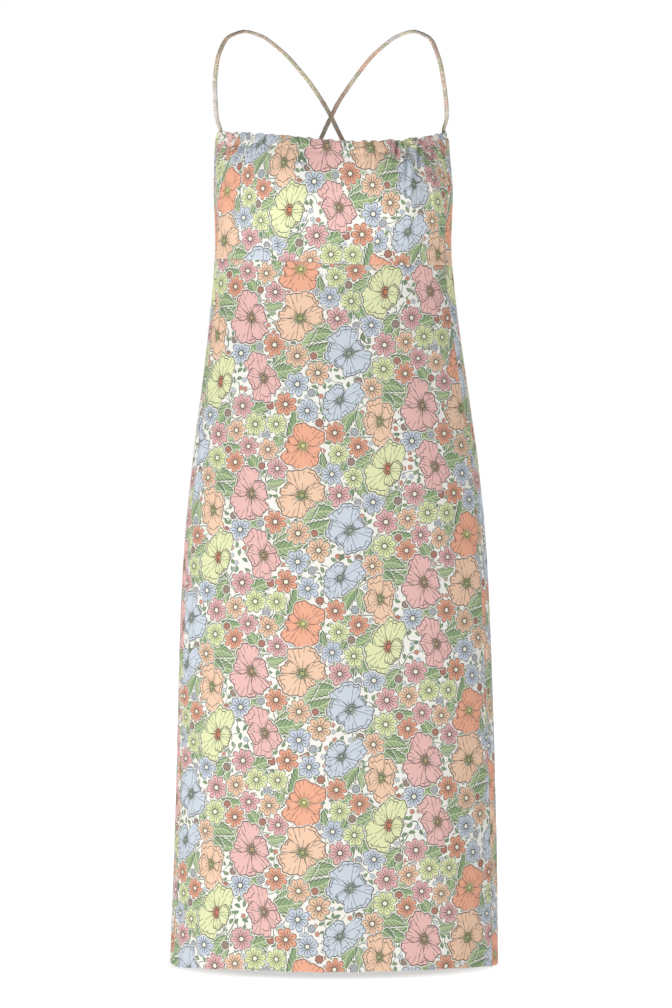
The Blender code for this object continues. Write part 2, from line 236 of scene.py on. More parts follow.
# Straps: each row is a point of the centre line. It is the solids' own, but for the front ends, a
# little further out.
STRAP_WIDTH = 4.7 * MM
STRAP_THICKNESS = 3.2 * MM
STRAP_SIDES = 14
STRAP_STEP = 2.2 * MM
STRAP_TUCK = 11 * MM
STRAP_WALL = 0.5 * MM
STRAP_EASE = 50 * MM  # over which a strap turns from the body's side to the cloth's
STRAP_BIAS = 45.0
SOLID_WALL = 1.4 * MM
SOLID_GAP = 0.5 * MM
TORSO_AXIS_Y = 0.020
TORSO_AXIS_Z = -0.125
# Columns: z, x and y of the left strap, x and y of the right one
STRAP_ROUTES = (
    (-0.1120, -0.1452, -0.0275, 0.1421, -0.0265),
    (-0.0950, -0.1466, -0.0330, 0.1418, -0.0325),
    (-0.0700, -0.1471, -0.0420, 0.1383, -0.0420),
    (-0.0480, -0.1451, -0.0440, 0.1345, -0.0440),
    (-0.0330, -0.1421, -0.0420, 0.1302, -0.0420),
    (-0.0168, -0.1355, -0.0340, 0.1243, -0.0340),
    (-0.0080, -0.1283, -0.0250, 0.1170, -0.0250),
    (0.0013, -0.1108, 0.0000, 0.1008, 0.0000),
    (-0.0011, -0.0912, 0.0220, 0.0823, 0.0220),
    (-0.0069, -0.0793, 0.0340, 0.0705, 0.0340),
    (-0.0199, -0.0612, 0.0500, 0.0529, 0.0500),
    (-0.0336, -0.0473, 0.0620, 0.0396, 0.0625),
    (-0.0549, -0.0288, 0.0745, 0.0224, 0.0770),
    (-0.0768, -0.0134, 0.0825, 0.0071, 0.0862),
    (-0.0954, -0.0026, 0.0868, -0.0026, 0.0912),
    (-0.1141, 0.0066, 0.0888, -0.0116, 0.0930),
    (-0.1720, 0.0350, 0.0865, -0.0370, 0.0882),
)
LEFT_FRONT_ANGLE = 170.0
RIGHT_FRONT_ANGLE = 9.0
LEFT_BACK_ANGLE = 306.0
RIGHT_BACK_ANGLE = 234.0

# Print: a half-drop repeat of blooms, daisies, berries and leaf sprays, laid out by a loop
REPEAT_WIDTH = 0.216
REPEAT_HEIGHT = 0.218
BLOOM_RADIUS = 33.0 * MM
BLOOM_SQUASH = 0.86  # a bloom's height against its width
DAISY_RADIUS = 15.5 * MM
BERRY_RADIUS = 5.6 * MM
LEAF_LENGTH = 37 * MM
# Five petals of each bloom, the lowest first: axis and half spread in degrees, length, and where it starts
BLOOMS = (
    ("peach", (95, 54, 1.10, 0.0), (18, 44, 0.78, 0.0), (168, 46, 0.86, 0.0),
     (-112, 44, 0.66, 0.0), (-52, 58, 1.00, 0.24)),
    ("blue", (90, 74, 0.80, 0.0), (24, 42, 1.06, 0.0), (158, 42, 0.94, 0.0),
     (-150, 40, 0.72, 0.0), (-82, 66, 0.70, 0.16)),
    ("lime", (46, 60, 1.08, 0.0), (132, 48, 0.84, 0.0), (-160, 46, 1.04, 0.0),
     (-18, 40, 0.64, 0.0), (-86, 60, 0.62, 0.10)),
    ("pink", (84, 62, 0.62, 0.0), (12, 48, 1.08, 0.0), (156, 48, 0.76, 0.0),
     (-132, 42, 1.00, 0.0), (-60, 60, 0.72, 0.22)),
    ("coral", (92, 70, 1.08, 0.0), (18, 36, 0.72, 0.0), (164, 38, 0.70, 0.0),
     (-152, 40, 0.64, 0.0), (-74, 72, 0.98, 0.20)),
    ("blue", (104, 50, 1.10, 0.0), (36, 46, 0.90, 0.0), (176, 40, 0.62, 0.0),
     (-20, 40, 0.68, 0.0), (-96, 66, 0.98, 0.22)),
    ("peach", (82, 60, 0.66, 0.0), (150, 46, 1.04, 0.0), (22, 44, 0.84, 0.0),
     (-34, 40, 0.98, 0.0), (-112, 66, 0.74, 0.12)),
    ("pink", (66, 56, 1.06, 0.0), (140, 44, 0.76, 0.0), (-4, 42, 0.86, 0.0),
     (-164, 44, 1.00, 0.0), (-84, 60, 0.68, 0.20)),
)
DAISIES = ("orange", "blue", "lime", "rose", "apricot") * 5
BERRIES = ("rust", "slate", "umber", "rust", "slate", "umber", "rust", "slate") * 2
SPRAYS = 16
SINGLE_LEAVES = 10
LAYERS = {"bloom": 3, "daisy": 2, "berry": 1, "leaf": 6}  # motifs that one face may show
SCATTER = (0.7549, 0.5698)  # each motif's first place, as a step from the one before it
GOLDEN_TURN = 2.399
GOLDEN_SHARE = 0.618
SETTLING_ROUNDS = 400
SETTLING_PUSH = 0.35
CROWDING = 0.90  # how much of its radius a motif keeps clear of its neighbours
SEARCH_STEP = 4 * MM
RAMP_STEPS = 8
SEED_TURN = 6.28
PETAL_HALO = 0.030
REACH = {"bloom": 1.19, "daisy": 1.09, "berry": 1.17}  # how far each is drawn, in its own size
LEAF_BACK, LEAF_FRONT, LEAF_ASIDE = -0.56, 1.04, 0.42
FAR_OFF = 9.0  # a place outside every motif
SPRIG_SIZE = 9.8 * MM  # small leaves and buds scattered on the ground, one to a cell of this size

# Print colours, as display values from 0 to 1
GROUND = (0.970, 0.962, 0.935)
INK = (0.07, 0.09, 0.07)
WARM_INK = (0.36, 0.20, 0.14)
BLOOM_COLOURS = {
    "peach": (0.965, 0.805, 0.680),
    "blue": (0.812, 0.852, 0.898),
    "lime": (0.908, 0.928, 0.715),
    "pink": (0.940, 0.740, 0.720),
    "coral": (0.955, 0.675, 0.545),
}
DAISY_COLOURS = {
    "orange": (0.905, 0.625, 0.500),
    "blue": (0.780, 0.822, 0.880),
    "lime": (0.880, 0.912, 0.670),
    "rose": (0.900, 0.680, 0.680),
    "apricot": (0.940, 0.775, 0.640),
}
BERRY_COLOURS = {
    "rust": (0.780, 0.500, 0.410),
    "slate": (0.760, 0.785, 0.810),
    "umber": (0.680, 0.570, 0.510),
}
LEAF_COLOURS = {
    "green": (0.540, 0.660, 0.455),
    "deep": (0.430, 0.565, 0.400),
    "sage": (0.625, 0.720, 0.525),
}
BLOOM_HEARTS = {
    "peach": (0.620, 0.660, 0.400),
    "blue": (0.560, 0.620, 0.560),
    "lime": (0.800, 0.420, 0.280),
    "pink": (0.660, 0.560, 0.400),
    "coral": (0.840, 0.840, 0.500),
}
DAISY_EYE = (0.96, 0.95, 0.88)
LEAF_INK = (0.14, 0.21, 0.13)
LEAF_LIGHT = (0.84, 0.89, 0.68)
MIDRIB = (0.84, 0.88, 0.70)
STALK = (0.29, 0.37, 0.26)
STEM = (0.38, 0.46, 0.34)
SPRIG_INK = (0.25, 0.32, 0.24)
BUD_COLOURS = ((0.80, 0.84, 0.88), (0.86, 0.56, 0.47))
MOTTLE_COLOUR = (0.72, 0.71, 0.69)
CLOTH_ROUGHNESS = 0.85
CLOTH_SHINE = 0.12
MOTTLE_SCALE = 260.0
STEM_SCALE = 34.0
YARN_PITCH = 0.42 * MM
WEAVE_DEPTH = 0.1 * MM
WASH = 0.06  # how far the cream ground shows through every colour
BACK_WASH = 0.42  # the same on the cloth's inner face
# On the straps the print is washed towards a greyer, darker tint. This is partly the rouleau's own paler,
# finer look and partly painted shade of the narrow tube.
STRAP_WASH = 0.60
STRAP_TINT_AND_PAINTED_SHADE = (0.86, 0.79, 0.72)
# Where each piece lies on the print
PRINT_SHIFTS = {
    "strap_left": (0.02, 0.03),
    "strap_right": (0.13, 0.11),
    "front_bodice": (0.168, 0.050),
    "back_bodice": (0.118, 0.090),
    "front_skirt": (0.070, 0.041),
    "back_skirt": (0.015, 0.130),
}

# Studio
FLOOR_DROP = 8.5 * MM
FLOOR_REACH = 40.0
# The floor's glow falls to about half within the hem's ellipse: a painted shadow under the dress. Further
# out the floor glows evenly white.
FLOOR_GLOW_AND_PAINTED_SHADOW = (0.78, 1.20, 0.52, 1.0)  # from and to, as shares of the hem's ellipse, and the glow there
WORLD_LIGHT = (0.17, 0.40, 1.0, 0.08)  # from and to, as heights of the view, and the light there
# Columns: name, place, aim, size, power
LIGHTS = (
    ("key", (-1.6, -2.0, -0.95), (0.0, 0.0, -0.85), 0.55, 32.0),
    ("fill", (1.9, -2.3, -1.00), (0.0, 0.0, -0.85), 1.0, 11.5),
    ("back", (0.9, 2.9, -0.8), (0.0, 0.0, -0.8), 1.4, 26.0),
)
SENSOR_WIDTH = 36.0


def linear(colour):
    """A display colour as the linear light that shaders use."""
    return tuple(c / 12.92 if c <= 0.04045 else ((c + 0.055) / 1.055) ** 2.4 for c in colour) + (1.0,)


def smooth_step(value):
    value = np.clip(value, 0.0, 1.0)
    return value * value * (3.0 - 2.0 * value)


def bell(distance, spread):
    return np.exp(-((distance / spread) ** 2))


def fading(distance, length):
    return np.exp(-np.maximum(0.0, distance) / length)


def unit(vectors):
    return vectors / np.linalg.norm(vectors, axis=-1, keepdims=True)


def level_normal(along):
    """Level directions at right angles to the given ones."""
    return unit(np.stack([-along[..., 1], along[..., 0], np.zeros_like(along[..., 0])], axis=-1))


def distances(points):
    """How far along each line of points every point lies. The lines run on the first axis."""
    steps = np.linalg.norm(np.diff(points, axis=0), axis=-1)
    return np.concatenate([np.zeros_like(steps[:1]), np.cumsum(steps, axis=0)])


def sample(values, places, travelled):
    """Rows of values at places along a line."""
    return np.stack([np.interp(places, travelled, column) for column in values.T], axis=-1)


def rotation(angle):
    return np.array([[math.cos(angle), -math.sin(angle)], [math.sin(angle), math.cos(angle)]])


def read_table(rows, values):
    """A table's other columns at values of its first one, on a smooth curve through its rows."""
    table, values = np.array(rows), np.asarray(values, float)
    keys = table[:, 0]
    if keys[0] > keys[-1]:
        table, keys = table[::-1], keys[::-1]
    values = np.clip(values, keys[0], keys[-1])
    low = np.clip(np.searchsorted(keys, values, side="right") - 1, 0, len(keys) - 2)
    before, after = np.maximum(low - 1, 0), np.minimum(low + 2, len(keys) - 1)
    span = (keys[low + 1] - keys[low])[..., None]
    part = (values - keys[low])[..., None] / span
    start, end = table[low, 1:], table[low + 1, 1:]
    start_slope = (end - table[before, 1:]) / (keys[low + 1] - keys[before])[..., None] * span
    end_slope = (table[after, 1:] - start) / (keys[after] - keys[low])[..., None] * span
    found = (
        start * (2 * part**3 - 3 * part**2 + 1)
        + start_slope * (part**3 - 2 * part**2 + part)
        + end * (3 * part**2 - 2 * part**3)
        + end_slope * (part**3 - part**2)
    )
    return np.moveaxis(found, -1, 0)


def neckline_height(angle):
    return read_table(NECKLINE, angle)[0]


def under_bust_height(angle):
    turn = np.radians(angle)
    return SEAM_HEIGHT - SEAM_DIP * np.maximum(0.0, np.sin(turn)) - SEAM_TILT * np.cos(turn)


def back_edge_height(angle):
    away = np.minimum(angle - BACK_EDGE_ANGLES[0], BACK_EDGE_ANGLES[1] - angle)
    falling = BACK_DROP * smooth_step(away / BACK_FALL_ANGLE)
    dipping = BACK_CENTRE_DIP * smooth_step((away - BACK_FALL_ANGLE) / BACK_CENTRE_SPREAD)
    return BACK_SIDE_HEIGHT - falling - dipping


def hem_height(angle):
    dips = [bell(angle - at, HEM_DIP_SPREAD) for at in HEM_DIP_ANGLES]
    return HEM_HEIGHT - HEM_SIDE_DIP * np.maximum.reduce(dips)


def form_point(angle, height):
    """Points of the smooth worn form, as an array whose last axis is x, y, z."""
    angle, height = np.broadcast_arrays(np.asarray(angle, float), np.asarray(height, float))
    half_width, front, back, lean = read_table(SECTIONS, height)[0:4]
    turn = np.radians(angle)
    across, ahead = np.cos(turn), np.sin(turn)
    depth = np.where(ahead > 0, front, back)
    total = np.abs(across / half_width) ** SQUARENESS + np.abs(ahead / depth) ** SQUARENESS
    radius = total ** (-1.0 / SQUARENESS)
    x = lean + radius * across
    cups = bell(x - BUST_X, BUST_SPREAD_X) + bell(x + BUST_X, BUST_SPREAD_X)
    cups = cups * bell(height - BUST_HEIGHT, BUST_SPREAD_Z) * smooth_step(ahead * 2)
    return np.stack([x, -radius * ahead - BUST_DEPTH * cups, height], axis=-1)


def outward(angle, height):
    """Level directions that point away from the body."""
    angle = np.asarray(angle)
    return level_normal(form_point(angle + 0.5, height) - form_point(angle - 0.5, height))


def gather_wave(angle):
    """Height on a gather from 0 in its valley to 1 on its puff, and the gather's depth and length."""
    angle = np.asarray(angle, float)
    puff, depth, length = np.full(angle.shape, 0.5), np.zeros(angle.shape), np.ones(angle.shape)
    for start, end, count, deep, long in GATHERS:
        here = (angle >= start) & (angle <= end)
        place = (angle - start) / (end - start) * count
        number = np.clip(np.floor(place), 0, count - 1)
        uneven = 0.78 + 0.22 * np.sin(2.3 * number + start)
        wave = np.abs(np.sin(math.pi * (place - number))) ** 0.8
        puff = np.where(here, wave, puff)
        depth = np.where(here, deep * uneven, depth)
        length = np.where(here, long * uneven, length)
    return puff, depth, length


def crease_relief(x, z, creases):
    """Soft troughs, each deepest near its start and fading to its end."""
    relief = np.zeros_like(x)
    for x_start, z_start, x_end, z_end, width, depth in creases:
        run = np.array([x_end - x_start, z_end - z_start])
        long = np.hypot(*run)
        place = ((x - x_start) * run[0] + (z - z_start) * run[1]) / long**2
        aside = ((x - x_start) * run[1] - (z - z_start) * run[0]) / long
        wander = 0.25 * width * np.sin(9.0 * place + x_start * 400)
        fade = smooth_step(place * 5 + 0.4) * smooth_step((1.0 - place) * 1.4)
        shoulder = 0.35 * bell(np.abs(aside - wander) - 2.0 * width, width)
        relief += depth * fade * (shoulder - bell(aside - wander, width))
    return relief


def dart_place(x, z, dart):
    """How far down a dart each point lies, from 0 at its tip to 1 at its foot, and how far to its right."""
    x_tip, z_tip, x_foot, z_foot = dart
    place = (z - z_tip) / (z_foot - z_tip)
    return place, x - (x_tip + (x_foot - x_tip) * np.clip(place, 0.0, 1.2))


def bodice_relief(angle, height, x):
    below = neckline_height(angle) - height
    strayed = GATHER_WANDER * (np.sin(angle * 0.71 + 0.6) + 0.5 * np.sin(angle * 0.29 + below * 60))
    slanted = GATHER_SLANT * np.maximum(0.0, below) * np.sign(90 - angle)
    puff, depth, length = gather_wave(angle + strayed + slanted)
    relief = GATHER_SHARPNESS * depth * (puff - 0.5) * fading(below, length)
    fine = FINE_GATHER * np.sin(angle * 6.1 + 2.0 * np.sin(angle * 0.9)) * fading(below, FINE_GATHER_LENGTH)
    relief += fine * np.clip(depth / (1.2 * MM), 0.3, 1.0)
    relief -= CASING_GROOVE * bell(below - CASING_DEPTH, CASING_GROOVE_WIDTH)
    relief += CASING_PUFF * puff * bell(below - 0.45 * CASING_DEPTH, 6 * MM)
    relief += crease_relief(x, height, BODICE_CREASES)
    for dart in DARTS:
        place, aside = dart_place(x, height, dart)
        sewn = smooth_step(place * 8)
        relief -= DART_GROOVE * bell(aside, DART_GROOVE_WIDTH) * sewn
        shoulder = bell(np.abs(aside) - 5 * MM, 4 * MM) * np.clip(1 - place, 0.2, 1.0)
        relief += DART_SHOULDER * shoulder * sewn
        relief -= DART_DIMPLE * bell(aside, 7 * MM) * bell(height - dart[1], 9 * MM)
    for foot in (LEFT_FRONT_ANGLE, RIGHT_FRONT_ANGLE):
        over = bell(angle - foot, 2.6) * bell(np.maximum(0.0, below - 9 * MM), 5 * MM)
        relief = relief * (1 - over) + STRAP_BUMP * over
    return relief


def skirt_relief(angle, height, x, creases):
    growth = smooth_step((FLUTE_START - height) / (FLUTE_START - HEM_HEIGHT))
    relief = growth * sum(depth * bell(angle - at, spread) for at, spread, depth in FLUTES)
    relief += crease_relief(x, height, creases)
    above_hem = height - hem_height(angle)
    relief -= HEM_GROOVE * bell(above_hem - HEM_DEPTH, 1.6 * MM)
    relief += HEM_RIPPLE * np.sin(angle * 1.9 + 3 * np.sin(angle * 0.31)) * bell(above_hem, 26 * MM)
    return relief


def seam_relief(from_side, from_end, along_side, along_end):
    """Sewn edges turn in, and pucker a little along the stitching."""
    relief = -SEAM_ROLL * bell(from_side, SEAM_ROLL_WIDTH) - SEAM_ROLL * bell(from_end, SEAM_ROLL_WIDTH)
    for away, along in ((from_side, along_side), (from_end, along_end)):
        pucker = np.sin(along * 2 * math.pi / PUCKER_LENGTH + 1.7 * np.sin(along * 90))
        relief += PUCKER * pucker * bell(away - 3 * MM, PUCKER_REACH)
    return relief


def side_angles(height, front):
    """The two side edges of a front or back panel at a height, in degrees."""
    half_width, _, _, _, right, left = read_table(SECTIONS, height)
    gap = np.degrees(EDGE_GAP / half_width)
    if front:
        return right + gap, 180.0 - left - gap
    return 180.0 - left + gap, 360.0 + right - gap


def close_to_ends(count, width):
    """Places from 0 to 1, with three extra rows close to each end for the rolled edge."""
    extra = np.array([0.7, 1.6, 3.0]) * MM / width
    inner = np.linspace(0.0, 1.0, count + 1)[1:-1]
    inner = inner[(inner > extra[-1] * 1.3) & (inner < 1 - extra[-1] * 1.3)]
    return np.concatenate([[0.0], extra, inner, 1.0 - extra[::-1], [1.0]])


def turned_rows(depth):
    """Rows of a turned edge, from its raw edge to where the outer face begins.

    Each is how far below the edge it lies, how far inside the outer face, and the cloth used up to it.
    """
    strip = [(below, 2 * FOLD_RADIUS) for below in np.linspace(depth, FOLD_RADIUS, 7)]
    turns = np.radians(np.arange(150, 0, -30))
    bend = [(FOLD_RADIUS * (1 - math.sin(t)), FOLD_RADIUS * (1 - math.cos(t))) for t in turns]
    rows = np.array(strip + bend + [(FOLD_RADIUS, 0.0)])
    used = distances(rows)
    return rows[:-1, 0], rows[:-1, 1], (used[-1] - used)[:-1]


def panel_points(front, grid, top, bottom, relief, turned_top=0.0, turned_bottom=0.0):
    """A panel's grid of points, and where each lies on the flat cut, both with columns first."""
    columns, rows, width = grid
    shares = close_to_ends(columns, width)
    first, last = side_angles(SEAM_HEIGHT, front)
    rough = first + shares * (last - first)
    upper = top(rough) - (FOLD_RADIUS if turned_top else 0.0)
    lower = bottom(rough) + (FOLD_RADIUS if turned_bottom else 0.0)
    downs = close_to_ends(rows, abs(np.mean(upper - lower)))
    heights = upper[:, None] + (lower - upper)[:, None] * downs[None, :]
    inside, used = np.zeros_like(heights), np.zeros_like(heights)
    if turned_top:
        below, inner, cloth = turned_rows(turned_top)
        heights = np.hstack([top(rough)[:, None] - below, heights])
        inside = np.hstack([0 * rough[:, None] + inner, inside])
        used = np.hstack([upper[:, None] - heights[:, : len(below)] + cloth, used])
    if turned_bottom:
        above, inner, cloth = turned_rows(turned_bottom)
        heights = np.hstack([heights, bottom(rough)[:, None] + above[::-1]])
        inside = np.hstack([inside, 0 * rough[:, None] + inner[::-1]])
        used = np.hstack([used, lower[:, None] - heights[:, -len(above) :] - cloth[::-1]])
    first, last = side_angles(heights, front)
    angles = first + shares[:, None] * (last - first)
    base = form_point(angles, heights)
    from_side = np.minimum(shares, 1 - shares)[:, None] * width + 0 * heights
    points = base + outward(angles, heights) * relief(angles, heights, base[..., 0], from_side)[..., None]
    points = points - level_normal(np.gradient(points, axis=0)) * inside[..., None]
    across = distances(points[..., :2])
    middle = np.array([np.interp(0.5, shares, across[:, k]) for k in range(across.shape[1])])
    flat = np.stack([across - middle[None, :], heights + used], axis=-1)
    return points, flat


def grid_faces(columns, rows):
    """Quads of a grid of points whose columns go round the body and whose rows go down, facing outwards."""
    index = np.arange(columns * rows).reshape(columns, rows)
    corners = (index[:-1, :-1], index[1:, :-1], index[1:, 1:], index[:-1, 1:])
    return np.stack([corner.ravel() for corner in corners], axis=1)


def make_mesh(name, points, faces):
    mesh = bpy.data.meshes.new(name)
    mesh.from_pydata(points.tolist(), [], faces.tolist())
    mesh.validate()
    mesh.shade_smooth()
    return mesh


def lattice_steps():
    """Moves from one repeat to its neighbours, each column dropped by half a repeat."""
    return [
        np.array([i * REPEAT_WIDTH, j * REPEAT_HEIGHT + (i % 2) * REPEAT_HEIGHT / 2])
        for i in range(-2, 3)
        for j in range(-2, 3)
    ]


def settle(places, radii):
    """Pushes motifs apart, over the repeat's edges too, until they fill it evenly."""
    steps = lattice_steps()
    for _ in range(SETTLING_ROUNDS):
        push = np.zeros_like(places)
        for step in steps:
            apart = places[:, None, :] - places[None, :, :] - step
            far = np.linalg.norm(apart, axis=-1)
            close = (radii[:, None] + radii[None, :]) - far
            close[(far < 1e-6) | (close < 0)] = 0.0
            share = radii[None, :] / (radii[:, None] + radii[None, :])
            push += (apart / np.maximum(far, 1e-6)[..., None] * (close * share)[..., None]).sum(axis=1)
        places = places + SETTLING_PUSH * push
    return places


def gap_at(points, places, radii):
    """How far each point lies from the nearest motif's rim, and which motif that is."""
    nearest, which = np.full(len(points), FAR_OFF), np.zeros(len(points), int)
    for step in lattice_steps():
        far = np.linalg.norm(points[:, None, :] - places[None, :, :] - step, axis=-1) - radii[None, :]
        best = far.argmin(axis=1)
        value = far[np.arange(len(points)), best]
        closer = value < nearest
        nearest, which = np.where(closer, value, nearest), np.where(closer, best, which)
    return nearest, which


def away_from(point, place):
    """The direction to a point from the nearest copy of a motif."""
    options = [point - place - step for step in lattice_steps()]
    return min(options, key=lambda option: float(np.hypot(*option)))


def lay_out_print():
    """The repeat's motifs as (kind, x, y, size, turn, colour index, seed), the topmost first."""
    names = [
        ("bloom", BLOOM_RADIUS, range(len(BLOOMS))),
        ("daisy", DAISY_RADIUS, [list(DAISY_COLOURS).index(colour) for colour in DAISIES]),
        ("berry", BERRY_RADIUS, [list(BERRY_COLOURS).index(colour) for colour in BERRIES]),
    ]
    kinds, radii, colours = [], [], []
    for kind, radius, chosen in names:
        for number, colour in enumerate(chosen):
            kinds.append(kind)
            radii.append(radius * (1.0 + 0.07 * math.sin(2.7 * number + radius * 1000)))
            colours.append(colour)
    radii = np.array(radii)
    count = np.arange(len(kinds))
    scattered = (0.5 + count[:, None] * np.array(SCATTER)) % 1.0
    places = settle(scattered * np.array([REPEAT_WIDTH, REPEAT_HEIGHT]), radii * CROWDING)
    motifs = [
        (kinds[i], *places[i], radii[i], i * GOLDEN_TURN % (2 * math.pi), colours[i], i * GOLDEN_SHARE % 1.0)
        for i in range(len(kinds))
    ]
    return motifs + lay_out_leaves(places, radii)


def lay_out_leaves(places, radii):
    """Leaf sprays, then single leaves, each put where the ground shows most."""
    places, radii = np.array(places), np.array(radii) * CROWDING
    across, down = (np.arange(0, size, SEARCH_STEP) for size in (REPEAT_WIDTH, REPEAT_HEIGHT))
    across, down = np.meshgrid(across, down)
    ground = np.stack([across.ravel(), down.ravel()], axis=-1)
    leaves = []
    for number in range(SPRAYS + SINGLE_LEAVES):
        gaps, nearest = gap_at(ground, places, radii)
        chosen = int(gaps.argmax())
        spot = ground[chosen]
        way = away_from(spot, places[nearest[chosen]])
        turn = math.atan2(way[1], way[0]) + 0.9 * math.sin(number * 1.9)
        size = LEAF_LENGTH * (1.0 if number < SPRAYS else 0.78) * (1.0 + 0.14 * math.sin(number * 2.1))
        fan = ((0.0, 1.0), (0.60, 0.82), (-0.60, 0.86)) if number < SPRAYS else ((0.0, 1.0), (0.7, 0.7))
        foot = spot - 0.55 * size * np.array([math.cos(turn), math.sin(turn)])
        for lean, share in fan:
            colour, seed = len(leaves) % len(LEAF_COLOURS), len(leaves) * GOLDEN_SHARE % 1.0
            leaves.append(("leaf", *foot, size * share, turn + lean, colour, seed))
        places, radii = np.vstack([places, spot]), np.append(radii, 8 * MM if number < SPRAYS else 5 * MM)
    return leaves


def print_on(mesh, corners):
    """Writes, for each face corner, where it lies in each motif that the face may show.

    corners has the flat place of each face's four corners, in metres. A layer's vector is x and y in
    the motif's own size, and its colour index with its seed as the fraction.
    """
    middle = corners.mean(axis=1)
    half = np.linalg.norm(corners - middle[:, None, :], axis=-1).max(axis=1)
    low, high = corners.min(axis=(0, 1)), corners.max(axis=(0, 1))
    used = {kind: np.zeros(len(corners), int) for kind in LAYERS}
    layers = {
        (kind, k): np.full((len(corners), 4, 3), FAR_OFF) for kind in LAYERS for k in range(LAYERS[kind])
    }
    columns = range(math.floor(low[0] / REPEAT_WIDTH) - 1, math.ceil(high[0] / REPEAT_WIDTH) + 1)
    rows = range(math.floor(low[1] / REPEAT_HEIGHT) - 2, math.ceil(high[1] / REPEAT_HEIGHT) + 2)
    for kind, x, y, size, turn, colour, seed in MOTIFS:
        spin = rotation(turn) / size
        if kind == "bloom":
            spin[:, 1] /= BLOOM_SQUASH
        for i in columns:
            for j in rows:
                place = np.array([x + i * REPEAT_WIDTH, y + j * REPEAT_HEIGHT + (i % 2) * REPEAT_HEIGHT / 2])
                seen = (middle - place) @ spin
                room = half / size
                if kind == "leaf":
                    near = (seen[:, 0] > LEAF_BACK - room) & (seen[:, 0] < LEAF_FRONT + room)
                    near &= np.abs(seen[:, 1]) < LEAF_ASIDE + room
                else:
                    near = np.hypot(seen[:, 0], seen[:, 1]) < REACH[kind] + room
                near = np.flatnonzero(near & (used[kind] < LAYERS[kind]))
                for k in range(LAYERS[kind]):
                    mine = near[used[kind][near] == k]
                    layers[kind, k][mine, :, :2] = (corners[mine] - place) @ spin
                    layers[kind, k][mine, :, 2] = colour + 0.02 + 0.96 * seed
                used[kind][near] += 1
    for (kind, k), values in layers.items():
        written = mesh.attributes.new(f"{kind}_{k}", "FLOAT_VECTOR", "CORNER")
        written.data.foreach_set("vector", values.astype(np.float32).ravel())


def flat_corners(mesh, flat):
    """The flat place of each corner of each face, for a mesh of quads."""
    index = np.empty(len(mesh.loops), np.int32)
    mesh.loops.foreach_get("vertex_index", index)
    return flat.reshape(-1, 2)[index].reshape(-1, 4, 2)


def add_flat_map(mesh, corners):
    layer = mesh.uv_layers.new(name="flat")
    layer.data.foreach_set("uv", corners.astype(np.float32).ravel())


def sign(operation):
    """A method that does this operation in the value's own node tree."""
    return lambda value, *others: value.art.do(operation, value, *others)


class Value:
    """A number in a node tree, with Python's own signs, so that a drawing reads like its formula.

    A comparison gives 1 or 0, & gives 1 where both are 1, and | gives the larger.
    """

    def __init__(self, art, socket):
        self.art, self.socket = art, socket

    __add__ = sign("ADD")
    __sub__ = sign("SUBTRACT")
    __mul__ = __and__ = sign("MULTIPLY")
    __truediv__ = sign("DIVIDE")
    __pow__ = sign("POWER")
    __abs__ = sign("ABSOLUTE")
    __lt__ = sign("LESS_THAN")
    __gt__ = sign("GREATER_THAN")
    __or__ = sign("MAXIMUM")

    def __rsub__(self, other):
        return self.art.do("SUBTRACT", other, self)


class Drawing:
    """A node tree that is drawn with formulas. Colours given as three numbers are display values."""

    def __init__(self, tree):
        self.tree = tree

    def node(self, kind, inputs=(), **settings):
        """A new node with these settings, and these values or links at its inputs."""
        made = self.tree.nodes.new(kind)
        for key, value in settings.items():
            setattr(made, key, value)
        for key, value in dict(inputs).items():
            self.feed(made.inputs[key], value)
        return made

    def feed(self, socket, value):
        if isinstance(value, Value):
            value = value.socket
        if isinstance(value, bpy.types.NodeSocket):
            self.tree.links.new(value, socket)
        else:
            socket.default_value = value

    def do(self, operation, *values):
        return Value(self, self.node("ShaderNodeMath", enumerate(values), operation=operation).outputs[0])

    def at_least(self, value, low):
        return self.do("MAXIMUM", value, low)

    def between(self, value, low, high):
        return (value > low) & (value < high)

    def wave(self, angle, count, shift=0.0):
        """Sine of an angle taken count times and shifted."""
        return self.do("SINE", angle * count + shift)

    def polar(self, x, y):
        """Distance and angle of a place."""
        return self.do("SQRT", x * x + y * y), self.do("ARCTAN2", y, x)

    def parts(self, source, kind="ShaderNodeSeparateXYZ"):
        """The three numbers of a vector, or of a colour."""
        return [Value(self, part) for part in self.node(kind, {0: source}).outputs]

    def mix(self, share, a, b):
        a, b = (linear(colour) if isinstance(colour, tuple) else colour for colour in (a, b))
        return self.node("ShaderNodeMix", {0: share, 6: a, 7: b}, data_type="RGBA").outputs[2]

    def noise(self, flat, scale, detail):
        inputs = {"Vector": flat, "Scale": scale, "Detail": detail}
        return Value(self, self.node("ShaderNodeTexNoise", inputs, noise_dimensions="2D").outputs[0])

    def ease(self, value, low, high, at_low, at_high):
        """Runs smoothly from at_low, where the value is low, to at_high, where it is high."""
        inputs = {"Value": value, "From Min": low, "From Max": high, "To Min": at_low, "To Max": at_high}
        return self.node("ShaderNodeMapRange", inputs, interpolation_type="SMOOTHSTEP").outputs[0]

    def pick(self, number, rows):
        """A ramp that gives the row of four values with that number."""
        made = self.node("ShaderNodeValToRGB")
        ramp = made.color_ramp
        ramp.interpolation = "CONSTANT"
        while len(ramp.elements) > 1:
            ramp.elements.remove(ramp.elements[0])
        ramp.elements[0].position = 0.0
        ramp.elements[0].color = rows[0]
        for k, row in enumerate(rows[1:], start=1):
            ramp.elements.new(k / RAMP_STEPS).color = row
        self.feed(made.inputs[0], (number + 0.5) * (1 / RAMP_STEPS))
        return made

    def colour_of(self, number, colours):
        return self.pick(number, [linear(colour) for colour in colours]).outputs[0]


